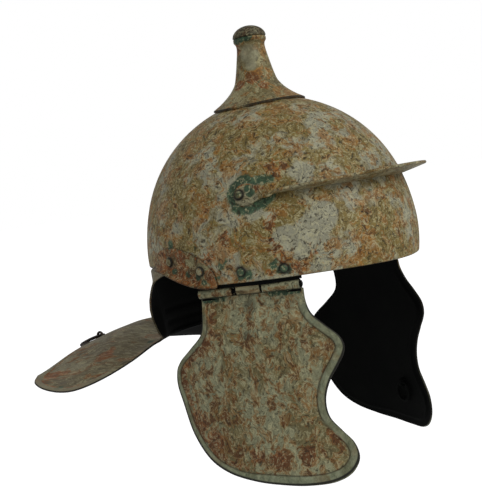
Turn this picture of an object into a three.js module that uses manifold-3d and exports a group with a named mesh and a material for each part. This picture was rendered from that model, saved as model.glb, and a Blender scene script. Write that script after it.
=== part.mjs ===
// A legionary's sheet-bronze helmet with a crest knob, a riveted brow guard, ear guards,
// hinged cheek pieces and a nape sheet that runs out into a broad neck guard.
// The origin is the middle of the opening for the head, in the plane of the rim:
// +X is to the front, +Y to the wearer's left and +Z up. Lengths are in millimetres.
// Angles round the bowl are in degrees from the front, growing towards the wearer's right.
import * as THREE from 'three';
import { mergeVertices } from 'three/addons/utils/BufferGeometryUtils.js';
import Module from 'manifold-3d';

const wasm = await Module();
wasm.setup();

// Gaps between pieces
const fitGap = 0.5;             // between curved sheets that lie one over another
const seatGap = 0.3;            // between faces that touch
const turnGap = 0.35;           // round a pin, and beside a knuckle that turns
const overrun = 6;              // how far a cut runs past what it cuts
const weldDistance = 0.0001;    // corners nearer than this are one

// Bowl
const bowlHalfLength = 116.6;
const bowlHalfWidth = 100;
const bowlHeight = 138.5;       // from the rim's plane to the crown
const bowlWall = 1.8;
const bowlShoulderPower = 2.54; // more makes the shoulders squarer
const bowlCrownPower = 1.894;   // more makes the crown flatter
const rimDrawIn = 2.4;          // how far the wall comes in at the rim
const rimDrawHeight = 30;
const backRimRise = 15;         // the bowl's edge is this much higher behind the ears
const frontRimDip = 1.6;        // and this much lower at the very front
const frontRimAngle = 50;
const earFrontAngle = 88;
const earBackAngle = 119;

// Nape sheet and neck guard, one formed piece
const napeLap = 14;             // how far the sheet goes up inside the bowl
const napeDepth = 47;           // from the rim's plane down to the fold
const napeStepDrop = 0.6;       // the sheet starts to step out this far under the bowl's edge
const napeStepHeight = 3.5;     // and lies nearly flush with the bowl this far under it
const napeStepFade = 17;        // it leans in again from this far under the rim's plane to the fold
const napeRibHeight = 1.6;
const napeRibWidth = 7;
const napeRibSpacing = 10.5;
const napeFlange = 7;           // how far the free edges beside the ears turn out
const guardReach = 121;         // from the fold back to the rear edge
const guardHalfWidth = 116;
const guardDroop = 30;          // its sides hang this much lower than the fold
const sheetWall = 1.6;
const guardDroopPower = 1.9;    // more bends the guard down nearer to its sides
const guardBorder = 5;          // width of the raised border
const guardBorderSlope = 2.5;   // width of its slope down to the sheet
const guardRelief = 0.8;        // how far the border stands up
const napeRivetAngle = 25;      // between the three rivets at the back

// Rivets
const rivetHeadRadius = 3.5;
const rivetHeadHeight = 1.9;
const rivetShankRadius = 1.5;
const rivetTailRadius = 2.6;
const rivetTailHeight = 1.1;

// Brow guard
const browHeight = 62;          // the plate's inner edge over the rim
const browReach = 23;           // the plate's width at the front
const browTiltAngle = 14.5;     // the outer edge stands higher than the inner one
const browThickness = 2.2;
const browNeckWidth = 8;
const browPlatePower = 1.4;     // more makes the plate narrow sooner towards its ends
const browTwistAngle = 56;      // where the plate starts to twist
const browPlateAngle = 58;      // where its narrow neck is
const browLugAngle = 71.2;
const browLugHeight = 63;
const browLugRadius = 8.5;
const browRivetShiftAngle = 1.2; // the rivet sits a little behind the lug's middle

// Ear guards
const earGuardWall = 1.3;
const earGuardFrontAngle = 86.5;
const earGuardBackAngle = 123.5;
const earGuardArch = 21;        // the arched edge over the line between its ends
const earGuardFrontRise = 4;
const earFlatHeight = 2.6;      // at least this much of the plate lies flat over the lip
const earLipRadius = 5.5;
const earLipEndRadius = 1.6;    // what is left of it at the lip's ends
const earLipPower = 0.7;        // less keeps the lip full nearer to its ends
const earLipAngle = 78;         // how far round the lip curls outwards
const earRivetBackAngle = 109;
const earRivetBackHeight = 20.5;
const earRivetFrontAngle = 92.8;
const earRivetFrontHeight = 11.9;

// Cheek hinges: a line under the rim on each side
const hingeInset = 6.1;         // from the bowl's widest place in to the pin, beside the origin
const hingeDrop = 5.9;          // from the rim's plane down to the pin
const hingeTurnAngle = 15.2;    // the pin runs in towards the front
const hingeBack = 12.9;         // the knuckles' rear end behind the origin, along the pin
const hingeFront = 67.6;        // and their front end before it
const knuckleRadius = 3.8;
const pinRadius = 1.6;
const pinHeadRadius = 2.4;
const pinHeadLength = 1.2;
const middleKnuckleBack = 17.8;
const middleKnuckleLength = 19.1;
const rearKnuckleLength = 27.3;
const frontKnuckleLength = 29.4;

// Cheek pieces
const cheekWall = 1.6;
const cheekLength = 149;      // from the pin down to the lowest point
const cheekWidth = 139.3;       // between the rear and the front bulge
const cheekSplayAngle = 5.6;    // the plate hangs outwards from the pin
const cheekCrossDrop = 10.7;      // how far the front edge curves in
const cheekDownDrop = 10.4;      // how far the lower edge curves in
const cheekTipDrop = 7.9;         // how much further the lower front corner curves in
const cheekNarrowBorder = 3.6;
const cheekWideBorder = 6.6;
const cheekRelief = 0.9;
const cheekRear = -47.4;        // the rear bulge, from the origin along the pin

// Hinge leaves inside the bowl
const leafWall = 1.4;
const leafBottom = -1.8;        // it hangs out under the bowl's edge
const leafTop = 17;
const strapLap = 2.8;           // how far the knuckle's strap goes up the leaf
const leafFrontAngle = 53;
const leafBackAngle = 97;
const leafRivetMiddleAngle = 75.6;
const leafRivetMiddleHeight = 8.5;
const leafRivetFrontAngle = 59.1;
const leafRivetFrontHeight = 7.2;

// Crest knob
const knobFlangeRadius = 37.6;
const knobFlangeThickness = 1.5;
const knobFlangeWall = 2.4;
const knobFootRadius = 17.2;
const knobFootHeight = 13.5;    // from the crown up to the stem's foot
const knobNeckRadius = 11.6;
const knobNeckHeight = 42.5;
const knobCollarRadius = 13.3;
const knobCollarHeight = 48.3;
const knobCapRadius = 13.6;
const knobCapHeight = 9.6;
const knobSeatRadius = 7;       // the flat under the stem that stands on the crown
const knobTangRadius = 3.5;
const knobTenonRadius = 5;
const knobTenonLength = 3.4;
const knobWasherRadius = 11;
const knobWasherThickness = 1.6;

// Rings: one on each cheek piece's inner face, one on the neck guard
const tieRingRadius = 8;
const tieRingWire = 1.15;
const tieLoopWire = 1;
const tieLoopRadius = 2.9;
const tieLoopAlong = 52;        // from the origin forward along the pin
const tieLoopDown = 112;        // from the pin down the cheek piece
const neckRingRadius = 12;
const neckRingWire = 1.5;
const neckLoopWire = 1.2;
const neckLoopRadius = 3.2;
const neckLoopInset = 8.5;      // from the rear edge
const neckLoopFoot = 3;         // length of each clenched end under the guard

// How many steps the curved faces have
const bowlColumnCount = 40;
const bowlRowCount = 11;
const guardColumnCount = 16;
const leafColumnCount = 10;
const knobSideCount = 20;
const ringSideCount = 16;

const rad = THREE.MathUtils.degToRad;
const clamp = THREE.MathUtils.clamp;
const lerp = THREE.MathUtils.lerp;
const smooth = (value, from, to) => THREE.MathUtils.smoothstep(value, from, to);

// Solids

function weld(geometry) {
  const bare = geometry.clone();
  bare.deleteAttribute('normal');
  bare.deleteAttribute('uv');
  const merged = mergeVertices(bare, weldDistance);
  const at = merged.attributes.position;
  const index = merged.index.array;
  const kept = [];
  let volume = 0;
  const [a, b, c] = [new THREE.Vector3(), new THREE.Vector3(), new THREE.Vector3()];
  for (let i = 0; i < index.length; i += 3) {
    const [p, q, r] = [index[i], index[i + 1], index[i + 2]];
    if (p === q || q === r || r === p) continue;
    kept.push(p, q, r);
    volume += a.fromBufferAttribute(at, p).dot(
      b.fromBufferAttribute(at, q).cross(c.fromBufferAttribute(at, r)));
  }
  // faces that point inwards are turned round
  if (volume < 0) kept.reverse();
  merged.setIndex(kept);
  return merged;
}

function toSolid(geometry) {
  const welded = weld(geometry);
  return new wasm.Manifold(new wasm.Mesh({
    numProp: 3,
    vertProperties: Float32Array.from(welded.attributes.position.array),
    triVerts: Uint32Array.from(welded.index.array),
  }));
}

function toGeometry(solid) {
  const mesh = solid.getMesh();
  const geometry = new THREE.BufferGeometry();
  const points = Float32Array.from(mesh.vertProperties);
  geometry.setAttribute('position', new THREE.BufferAttribute(points, 3));
  geometry.setIndex(Array.from(mesh.triVerts));
  return geometry;
}

const join = (...parts) => toGeometry(parts.map(toSolid).reduce((a, b) => a.add(b)));
const cut = (part, ...tools) => toGeometry(
  tools.map(toSolid).reduce((a, b) => a.subtract(b), toSolid(part)));

// A sheet of even thickness. face(u, v, depth) gives a point that lies depth under the outer face.
// A round sheet closes on itself in u and has its pole at v = 0; an open one has four edges.
function sheet(face, thickness, across, along, round = false) {
  const rows = 2 * (along + 1);
  const columns = round ? across : across + 1;
  const points = [];
  const faces = [];
  for (let i = 0; i < columns; i++) {
    for (let j = 0; j < rows; j++) {
      const outer = j <= along;
      const v = (outer ? j : rows - 1 - j) / along;
      points.push(...face(i / across, v, outer ? 0 : thickness).toArray());
    }
  }
  const at = (i, j) => (i % columns) * rows + (j % rows);
  const quad = (a, b, c, d) => faces.push(a, b, c, a, c, d);
  for (let i = 0; i < across; i++) {
    for (let j = 0; j < (round ? rows - 1 : rows); j++) {
      quad(at(i, j), at(i + 1, j), at(i + 1, j + 1), at(i, j + 1));
    }
  }
  for (let j = 0; j < along && !round; j++) {
    const back = rows - 1 - j;
    quad(at(0, j), at(0, j + 1), at(0, back - 1), at(0, back));
    quad(at(across, j + 1), at(across, j), at(across, back), at(across, back - 1));
  }
  const geometry = new THREE.BufferGeometry();
  geometry.setAttribute('position', new THREE.Float32BufferAttribute(points, 3));
  geometry.setIndex(faces);
  return weld(geometry);
}

// A revolved piece: pairs of radius and height, turned round the Z axis
function turned(pairs, segments) {
  const profile = pairs.map(([radius, height]) => new THREE.Vector2(radius, height));
  return weld(new THREE.LatheGeometry(profile, segments).rotateX(Math.PI / 2));
}

// A round bar along X, between two places
function bar(radius, from, to, segments) {
  const geometry = new THREE.CylinderGeometry(radius, radius, to - from, segments);
  return geometry.rotateZ(-Math.PI / 2).translate((from + to) / 2, 0, 0);
}

// A wire bent along a curve
function wire(curve, radius, steps) {
  const section = new THREE.Shape().absarc(0, 0, radius, 0, 2 * Math.PI);
  return new THREE.ExtrudeGeometry(section, { extrudePath: curve, steps, curveSegments: 3 });
}

function mirrored(geometry) {
  return weld(geometry.clone().scale(1, -1, 1));
}

// Moves a piece made along +Z so that it stands at a place, along a direction
function stand(geometry, place, direction) {
  const turn = new THREE.Quaternion().setFromUnitVectors(new THREE.Vector3(0, 0, 1), direction);
  return geometry.applyQuaternion(turn).translate(place.x, place.y, place.z);
}

// Bowl

// The slope of a face is taken over this share of its height
const slopeShare = 0.0002;

// How far out the wall stands at a height, as a share of the bowl's half length or half width
function bowlShare(height) {
  const up = clamp(height / bowlHeight, 0, 1);
  const drawn = Math.max(1 - height / rimDrawHeight, 0);
  return (1 - up ** bowlShoulderPower) ** (1 / bowlCrownPower) - rimDrawIn / bowlHalfWidth * drawn ** 2;
}

function bowlNormal(angle, height) {
  if (height > bowlHeight * (1 - slopeShare)) return new THREE.Vector3(0, 0, 1);
  const step = bowlHeight * slopeShare;
  const slope = (bowlShare(height + step) - bowlShare(height - step)) / (2 * step);
  const turn = rad(angle);
  return new THREE.Vector3(
    Math.cos(turn) / bowlHalfLength, -Math.sin(turn) / bowlHalfWidth, -slope).normalize();
}

// A point on the bowl's outer face, or out from it
function onBowl(angle, height, out = 0) {
  const share = bowlShare(height);
  const turn = rad(angle);
  const point = new THREE.Vector3(
    bowlHalfLength * share * Math.cos(turn), -bowlHalfWidth * share * Math.sin(turn), height);
  return point.addScaledVector(bowlNormal(angle, height), out);
}

// The height of the bowl's edge: level at the sides, then up over the ear to the back
function edgeHeight(angle) {
  const side = Math.abs(angle);
  return backRimRise * smooth(side, earFrontAngle, earBackAngle)
    - frontRimDip * (1 - smooth(side, 0, frontRimAngle));
}

function bowlSheet(out, wall) {
  return sheet((u, v, depth) => {
    const angle = 360 * u - 180;
    const edge = edgeHeight(angle);
    const height = edge + (bowlHeight - edge) * Math.cos(Math.PI / 2 * v);
    return onBowl(angle, height, out - depth);
  }, wall, bowlColumnCount, bowlRowCount, true);
}

// The bowl as one block with a margin all round, to cut what lies against it
const bowlGrown = bowlSheet(seatGap, bowlWall + 2 * seatGap);

// Rivets: each joins a stack of sheets from the outermost face down to the innermost

const rivets = [
  { name: 'brow_rivet', angle: browLugAngle + browRivetShiftAngle, height: browLugHeight,
    out: seatGap + browThickness, under: bowlWall, paired: true },
  { name: 'ear_rivet_rear', angle: earRivetBackAngle, height: earRivetBackHeight,
    out: seatGap + earGuardWall, under: bowlWall + fitGap + sheetWall, paired: true },
  { name: 'ear_rivet_front', angle: earRivetFrontAngle, height: earRivetFrontHeight,
    out: seatGap + earGuardWall, under: bowlWall + fitGap + leafWall, paired: true },
  { name: 'leaf_rivet_middle', angle: leafRivetMiddleAngle, height: leafRivetMiddleHeight,
    out: 0, under: bowlWall + fitGap + leafWall, paired: true },
  { name: 'leaf_rivet_front', angle: leafRivetFrontAngle, height: leafRivetFrontHeight,
    out: 0, under: bowlWall + fitGap + leafWall, paired: true },
  ...[['right', -1], ['middle', 0], ['left', 1]].map(([side, step]) => ({
    name: `nape_rivet_${side}`, angle: 180 + step * napeRivetAngle, height: backRimRise + napeLap / 2,
    out: 0, under: bowlWall + fitGap + sheetWall, paired: false })),
];

const rivetTailShare = 0.7;     // the hammered end narrows to this share of its radius

function rivet({ angle, height, out, under }) {
  const top = out + seatGap;
  const bottom = -under - fitGap;
  const dome = [];
  const domeSteps = 2;
  for (let i = 0; i <= domeSteps; i++) {
    const turn = Math.PI / 2 * i / domeSteps;
    dome.push([rivetHeadRadius * Math.sin(turn), top + rivetHeadHeight * Math.cos(turn)]);
  }
  const geometry = turned([...dome, [rivetShankRadius, top], [rivetShankRadius, bottom],
    [rivetTailRadius, bottom], [rivetTailRadius * rivetTailShare, bottom - rivetTailHeight],
    [0, bottom - rivetTailHeight]], 8);
  return stand(geometry, onBowl(angle, height), bowlNormal(angle, height));
}

function rivetHole({ angle, height, out, under }) {
  const length = out + under + 2 * overrun;
  const geometry = new THREE.CylinderGeometry(
    rivetShankRadius + seatGap, rivetShankRadius + seatGap, length, 10).rotateX(Math.PI / 2);
  geometry.translate(0, 0, (out - under) / 2);
  return stand(geometry, onBowl(angle, height), bowlNormal(angle, height));
}

const holes = rivets.flatMap((one) => {
  const hole = rivetHole(one);
  return one.paired ? [hole, mirrored(hole)] : [hole];
});

function bowl() {
  const crownHole = new THREE.CylinderGeometry(
    knobTangRadius + seatGap, knobTangRadius + seatGap, 2 * overrun + bowlWall, 16);
  crownHole.rotateX(Math.PI / 2).translate(0, 0, bowlHeight);
  return cut(bowlSheet(0, bowlWall), crownHole, ...holes);
}

// Nape sheet and neck guard

// From the top edge down to the fold: share of the way down, half the angle round the back,
// and how much of the edge flange is there
const napeRowShares = [
  [0, 73, 0], [0.11, 73, 0], [0.19, 71, 0], [0.235, 67, 0], [0.28, 57, 0], [0.35, 46, 0.1],
  [0.44, 40, 0.4], [0.55, 37, 0.75], [0.66, 35.5, 0.9], [0.77, 35, 0.9], [0.86, 35, 0.75], [0.965, 35, 0.5],
];
// From the fold to the rear edge: the middle's shares of the reach and of the droop, then the
// side edge's shares of the reach, of the half width and of the droop
const guardRowShares = [
  [0, 0, -0.12, 0.49, 0], [0.06, -0.07, -0.08, 0.57, 0.16], [0.18, -0.22, -0.03, 0.69, 0.385],
  [0.31, -0.32, 0.05, 0.83, 0.62], [0.45, -0.30, 0.17, 0.93, 0.83], [0.59, -0.18, 0.31, 0.985, 0.97],
  [0.72, -0.05, 0.45, 1, 0.99], [0.83, 0.09, 0.60, 0.99, 0.92], [0.93, 0.23, 0.73, 0.94, 0.84],
  [0.96, 0.29, 0.80, 0.885, 0.78], [1, 0.35, 0.87, 0.79, 0.725],
];
const guardArcAngle = 24;
const napeTop = backRimRise + napeLap;
const napeFlangeShare = 0.78;   // the free edge starts to turn out here, from the middle to the edge
const napeRibEndShares = [0.5, 0.7];
const rowStepShare = 0.02;      // a step along or across the sheet, as a share of a row or of half a row

// One row of the sheet: where its middle and its right end lie, and the angle of its arc
function guardRow(index) {
  const fold = -onBowl(180, 0).x - bowlWall - fitGap;
  if (index < napeRowShares.length) {
    const [downShare, arc, flange] = napeRowShares[index];
    const height = lerp(napeTop, -napeDepth, downShare);
    const inside = onBowl(180, Math.max(height, backRimRise), -bowlWall - fitGap).x;
    const side = -onBowl(90, Math.max(height, backRimRise), -bowlWall - fitGap).y;
    const turn = rad(arc);
    return { middle: [inside, height], end: [inside * Math.cos(turn), side * Math.sin(turn), height],
      arc, flange, nape: true };
  }
  const [middleShare, fallShare, backShare, widthShare, droopShare] =
    guardRowShares[index - napeRowShares.length];
  return {
    middle: [-fold - guardReach * middleShare, -napeDepth - guardDroop * fallShare],
    end: [-fold - guardReach * backShare, guardHalfWidth * widthShare,
      -napeDepth - guardDroop * droopShare],
    arc: guardArcAngle, flange: 0, nape: false, bellShare: Math.max(middleShare, 0) ** 2 };
}

const guardRows = [...napeRowShares, ...guardRowShares].map((_, index) => guardRow(index));

// A point of the middle face: u runs from -1 at the right edge to 1 at the left edge
function guardPoint(u, row) {
  const low = Math.min(Math.floor(row), guardRows.length - 2);
  const part = row - low;
  const at = (one) => {
    const turn = rad(one.arc);
    const round = (1 - Math.cos(turn * u)) / (1 - Math.cos(turn));
    const aside = Math.sin(turn * u) / Math.sin(turn);
    const bell = (1 - Math.cos(Math.PI * u)) / 2;
    const drop = one.nape ? 0 : lerp(Math.abs(u) ** guardDroopPower, bell, one.bellShare);
    return new THREE.Vector3(
      lerp(one.middle[0], one.end[0], round),
      one.end[1] * aside,
      lerp(one.middle[1], one.end[2], drop));
  };
  return at(guardRows[low]).lerp(at(guardRows[low + 1]), part);
}

function guardNormal(u, row) {
  const last = guardRows.length - 1;
  const across = guardPoint(Math.min(u + rowStepShare, 1), row)
    .sub(guardPoint(Math.max(u - rowStepShare, -1), row));
  const along = guardPoint(u, Math.min(row + 0.5, last)).sub(guardPoint(u, Math.max(row - 0.5, 0)));
  return across.cross(along).normalize();
}

// How far the sheet stands out under the bowl's edge
function napeStep(point) {
  const angle = THREE.MathUtils.radToDeg(Math.atan2(-point.y * bowlHalfLength, point.x * bowlHalfWidth));
  const under = edgeHeight(angle) - point.z;
  const fade = 1 - smooth(-point.z, napeStepFade, napeDepth);
  return (bowlWall + fitGap - seatGap) * smooth(under, napeStepDrop, napeStepHeight) * fade;
}

function napeRib(height) {
  const ribs = [1, 0].map((step) => -napeDepth + napeRibSpacing * (step + 1));
  const near = Math.min(...ribs.map((rib) => Math.abs(height - rib)));
  return napeRibHeight * Math.max(1 - near / (napeRibWidth / 2), 0);
}

function napeGuard() {
  // columns on each side: the free edge, the border's inner edge and its slope, then even steps
  const insets = [0, guardBorder, guardBorder + guardBorderSlope];
  const slope = insets.length - 1;
  const columns = guardColumnCount + 2 * slope;
  const rows = guardRows.length - 1;
  return sheet((uShare, vShare, depth) => {
    const column = Math.round(uShare * columns);
    const row = Math.round(vShare * rows);
    const one = guardRows[row];
    const half = one.end[1];
    const edge = 1 - insets[slope] / half;
    const fromEdge = Math.min(column, columns - column);
    const sign = column * 2 < columns ? -1 : 1;
    const u = fromEdge < insets.length ? sign * (1 - insets[fromEdge] / half)
      : lerp(-edge, edge, (column - slope) / guardColumnCount);
    const point = guardPoint(u, row);
    const normal = guardNormal(u, row);
    const raised = !one.nape && (fromEdge < slope || rows - row < slope) ? guardRelief : 0;
    const flange = one.flange * napeFlange * smooth(Math.abs(u), napeFlangeShare, 1);
    const rib = one.nape ? napeRib(point.z) * (1 - smooth(Math.abs(u), ...napeRibEndShares)) : 0;
    const step = one.nape ? napeStep(point) : 0;
    return point.addScaledVector(normal, raised + flange + step + rib - depth);
  }, sheetWall, columns, rows);
}

// Brow guard: a flat crescent that twists at each end into a round lug on the bowl

// Degrees from the front at each step: even on the plate, then through the twist and round the lug
const browSpan = browLugAngle + lugAngle(browLugRadius);
const browTwistShares = [0, 0.2, 0.4, 0.6, 0.8, 1];
const browLugShares = [0.35, 0.65, 0.85, 0.95, 1];
const browTwistEndShare = 0.55; // the twist ends here, from the neck to the lug's middle
const browNeckEndShare = 0.3;   // and the neck starts to widen here
const browLugEndShare = 0.06;   // the lug's last step isn't quite a point
const browPlateSteps = 10;

// Degrees along the bowl that a length covers at the lug
function lugAngle(length) {
  const degree = onBowl(browLugAngle, browLugHeight).distanceTo(onBowl(browLugAngle + 1, browLugHeight));
  return length / degree;
}

function browAngles() {
  const half = [];
  for (let i = 0; i < browPlateSteps; i++) half.push(browPlateAngle * i / browPlateSteps);
  for (const share of browTwistShares) half.push(lerp(browPlateAngle, browLugAngle, share));
  for (const share of browLugShares) half.push(lerp(browLugAngle, browSpan, share));
  return [...half.slice(1).reverse().map((angle) => -angle), ...half];
}

function browWidth(angle) {
  if (angle > browLugAngle) {
    const away = (angle - browLugAngle) / (browSpan - browLugAngle);
    return 2 * browLugRadius * Math.max(Math.sqrt(1 - Math.min(away, 1) ** 2), browLugEndShare);
  }
  if (angle > browPlateAngle) {
    const widening = smooth(angle, lerp(browPlateAngle, browLugAngle, browNeckEndShare), browLugAngle);
    return lerp(browNeckWidth, 2 * browLugRadius, widening);
  }
  return lerp(browNeckWidth, browReach, Math.cos(Math.PI / 2 * angle / browPlateAngle) ** browPlatePower);
}

function browGuard() {
  const angles = browAngles();
  const across = angles.length - 1;
  const plate = sheet((uShare, vShare, depth) => {
    const angle = angles[Math.round(uShare * across)];
    const side = Math.abs(angle);
    const twistEnd = lerp(browPlateAngle, browLugAngle, browTwistEndShare);
    const twistShare = smooth(side, browTwistAngle, twistEnd);
    const twist = lerp(-rad(browTiltAngle), Math.PI / 2, twistShare);
    const height = lerp(browHeight, browLugHeight, twistShare);
    const normal = bowlNormal(angle, height);
    const level = new THREE.Vector3(normal.x, normal.y, 0).normalize();
    const along = new THREE.Vector3(0, 0, 1).cross(level);
    const flat = level.clone().lerp(normal, twistShare).normalize();
    const down = along.clone().cross(flat);
    const wide = flat.clone().multiplyScalar(Math.cos(twist)).addScaledVector(down, Math.sin(twist));
    const thick = flat.clone().multiplyScalar(Math.sin(twist)).addScaledVector(down, -Math.cos(twist));
    // the plate is set out from its inner edge, and the lug from its middle
    const width = browWidth(side);
    const inner = width * twistShare / 2;
    const clear = seatGap + inner * Math.cos(twist) + browThickness / 2 * Math.abs(Math.sin(twist));
    return onBowl(angle, height).addScaledVector(flat, clear)
      .addScaledVector(wide, width * vShare - inner)
      .addScaledVector(thick, browThickness / 2 - depth);
  }, browThickness, across, 2);
  return cut(plate, bowlGrown, ...holes);
}

// Ear guard: a plate arched over the ear, with a lip that curls outwards along its lower edge

function earGuard() {
  // steps across the plate, down its flat part and round the lip
  const across = 14;
  const flat = 2;
  const curl = 3;
  const plate = sheet((u, vShare, depth) => {
    const angle = lerp(earGuardFrontAngle, earGuardBackAngle, u);
    const arch = Math.sqrt(Math.max(1 - (2 * u - 1) ** 2, 0));
    const line = lerp(earGuardFrontRise, backRimRise, u);
    const turnAll = rad(earLipAngle);
    const radius = earLipRadius * Math.sin(Math.PI * u) ** earLipPower + earLipEndRadius;
    const bend = edgeHeight(angle) + radius * Math.sin(turnAll) - seatGap;
    const top = Math.max(line + earGuardArch * arch, bend + earFlatHeight);
    const row = vShare * (flat + curl);
    const turn = turnAll * Math.max(row - flat, 0) / curl;
    const height = row < flat ? lerp(top, bend, row / flat) : bend - radius * Math.sin(turn);
    const base = Math.max(height, 0);
    const normal = bowlNormal(angle, base);
    const out = seatGap + earGuardWall + radius * (1 - Math.cos(turn)) - depth * Math.cos(turn);
    const point = onBowl(angle, base, out);
    point.z += height - base - depth * Math.sin(turn);
    return point;
  }, earGuardWall, across, flat + curl);
  return cut(plate, bowlGrown, ...holes);
}

// Hinges. In the frame of the right hinge X runs along the pin, Y inwards and Z up.

function hingeFrame(side) {
  const frame = new THREE.Group();
  frame.position.set(0, side * (bowlHalfWidth - hingeInset), -hingeDrop);
  frame.rotation.z = -side * rad(hingeTurnAngle);
  frame.updateMatrix();
  return frame;
}
const rightHinge = hingeFrame(-1);
const leftHinge = hingeFrame(1);
const knuckleBore = pinRadius + turnGap;
const knuckleSides = 16;
const leafSearchAngle = 0.001;  // how closely a place on the leaf is found

// How far in the leaf's middle face lies in the hinge's frame, at a place along the pin
function leafInward(along, height) {
  const toHinge = rightHinge.matrix.clone().invert();
  let [front, back] = [leafFrontAngle, leafBackAngle];
  let point = new THREE.Vector3();
  while (back - front > leafSearchAngle) {
    const angle = (front + back) / 2;
    point = onBowl(angle, height, -bowlWall - fitGap - leafWall / 2).applyMatrix4(toHinge);
    if (point.x > along) front = angle;
    else back = angle;
  }
  return point.y;
}

// A leaf riveted inside the bowl, with the middle knuckle hanging from it on a strap
function hingeLeaf() {
  const plate = sheet((u, v, depth) => {
    const angle = lerp(leafFrontAngle, leafBackAngle, u);
    const height = lerp(leafTop, leafBottom + Math.max(edgeHeight(angle), 0), v);
    return onBowl(angle, height, -bowlWall - fitGap - depth);
  }, leafWall, leafColumnCount, 1);
  const strapTop = leafBottom + strapLap;
  const inward = leafInward(middleKnuckleBack + middleKnuckleLength / 2, strapTop);
  const strap = new THREE.Shape([
    new THREE.Vector2(-knuckleRadius, 0),
    new THREE.Vector2(-knuckleRadius + leafWall, 0),
    new THREE.Vector2(inward + leafWall, hingeDrop + leafBottom),
    new THREE.Vector2(inward + leafWall, hingeDrop + strapTop),
    new THREE.Vector2(inward, hingeDrop + strapTop),
    new THREE.Vector2(inward, hingeDrop + leafBottom),
    new THREE.Vector2(-knuckleRadius, hingeDrop / 2),
  ]);
  // the outline's X is the frame's Y, and its Y is the frame's Z
  const stripe = new THREE.ExtrudeGeometry(strap, { depth: middleKnuckleLength, bevelEnabled: false });
  stripe.applyMatrix4(new THREE.Matrix4().makeBasis(
    new THREE.Vector3(0, 1, 0), new THREE.Vector3(0, 0, 1), new THREE.Vector3(1, 0, 0)));
  stripe.translate(middleKnuckleBack, 0, 0);
  const middleKnuckleFront = middleKnuckleBack + middleKnuckleLength;
  const barrel = bar(knuckleRadius, middleKnuckleBack, middleKnuckleFront, knuckleSides);
  const bore = bar(knuckleBore, middleKnuckleBack - overrun, middleKnuckleFront + overrun, knuckleSides);
  const hanging = cut(join(barrel, stripe), bore).applyMatrix4(rightHinge.matrix);
  return cut(join(plate, hanging), bowlGrown, ...holes);
}

function hingePin() {
  const rearEnd = -hingeBack - seatGap;
  const frontEnd = hingeFront + seatGap;
  const shank = bar(pinRadius, rearEnd - pinHeadLength / 2, frontEnd + pinHeadLength / 2, 12);
  const rear = bar(pinHeadRadius, rearEnd - pinHeadLength, rearEnd, 12);
  const front = bar(pinHeadRadius, frontEnd, frontEnd + pinHeadLength, 12);
  return join(shank, rear, front);
}

// Cheek piece

// The outline from the rear end of the hinge, down the rear edge, round the bottom and up the
// front edge: shares of the width, measured from the rear bulge, and of the length
const cheekOutlineShares = [
  [0.247, 0.018], [0.241, 0.109], [0.221, 0.199], [0.137, 0.271], [0.048, 0.337], [0.010, 0.386],
  [0.000, 0.454], [0.023, 0.553], [0.069, 0.720], [0.156, 0.852], [0.264, 0.921], [0.426, 0.967],
  [0.573, 0.988], [0.717, 1.000], [0.859, 0.992], [0.939, 0.955], [0.983, 0.886], [0.973, 0.808],
  [0.924, 0.738], [0.874, 0.665], [0.867, 0.582], [0.897, 0.495], [0.952, 0.416], [0.991, 0.357],
  [1.000, 0.323], [0.985, 0.274], [0.920, 0.209], [0.859, 0.146], [0.836, 0.084], [0.832, 0.021],
];
const cheekMiddleShares = [0.52, 0.5];
const cheekMiddle = (hingeFront - hingeBack) / 2;
const cheekBowShare = 0.4;      // the curve across the plate is full from here down
const cheekShoulderShare = 0.2; // the plate has come in from the knuckles here
const cheekBorderShare = 0.15;  // the border stands up fully from here down
const cheekSlopeShare = 0.35;   // the border's slope, as a share of its width

const cheekOutline = new THREE.CatmullRomCurve3(cheekOutlineShares.map(([along, down]) =>
  new THREE.Vector3(cheekRear + cheekWidth * along, cheekLength * down, 0)), false, 'centripetal');

// The plate in the hinge's frame: along the pin, down, and depth under its outer face
function onCheek(along, down, depth) {
  const splay = rad(cheekSplayAngle);
  const at = (x, d) => {
    const crossShare = ((x - cheekMiddle) / (cheekRear + cheekWidth - cheekMiddle)) ** 2;
    const bow = cheekCrossDrop * crossShare * Math.min(d / (cheekLength * cheekBowShare), 1)
      + (cheekDownDrop + (x > cheekMiddle ? cheekTipDrop * crossShare : 0)) * (d / cheekLength) ** 2
      + (knuckleRadius - cheekWall) * (1 - smooth(d, 0, cheekLength * cheekShoulderShare));
    return new THREE.Vector3(
      x,
      -Math.sin(splay) * d + Math.cos(splay) * bow,
      -Math.cos(splay) * d - Math.sin(splay) * bow);
  };
  const step = cheekLength * slopeShare;
  const normal = at(along + step, down).sub(at(along - step, down))
    .cross(at(along, down + step).sub(at(along, down - step))).normalize();
  return at(along, down).addScaledVector(normal, depth);
}

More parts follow.
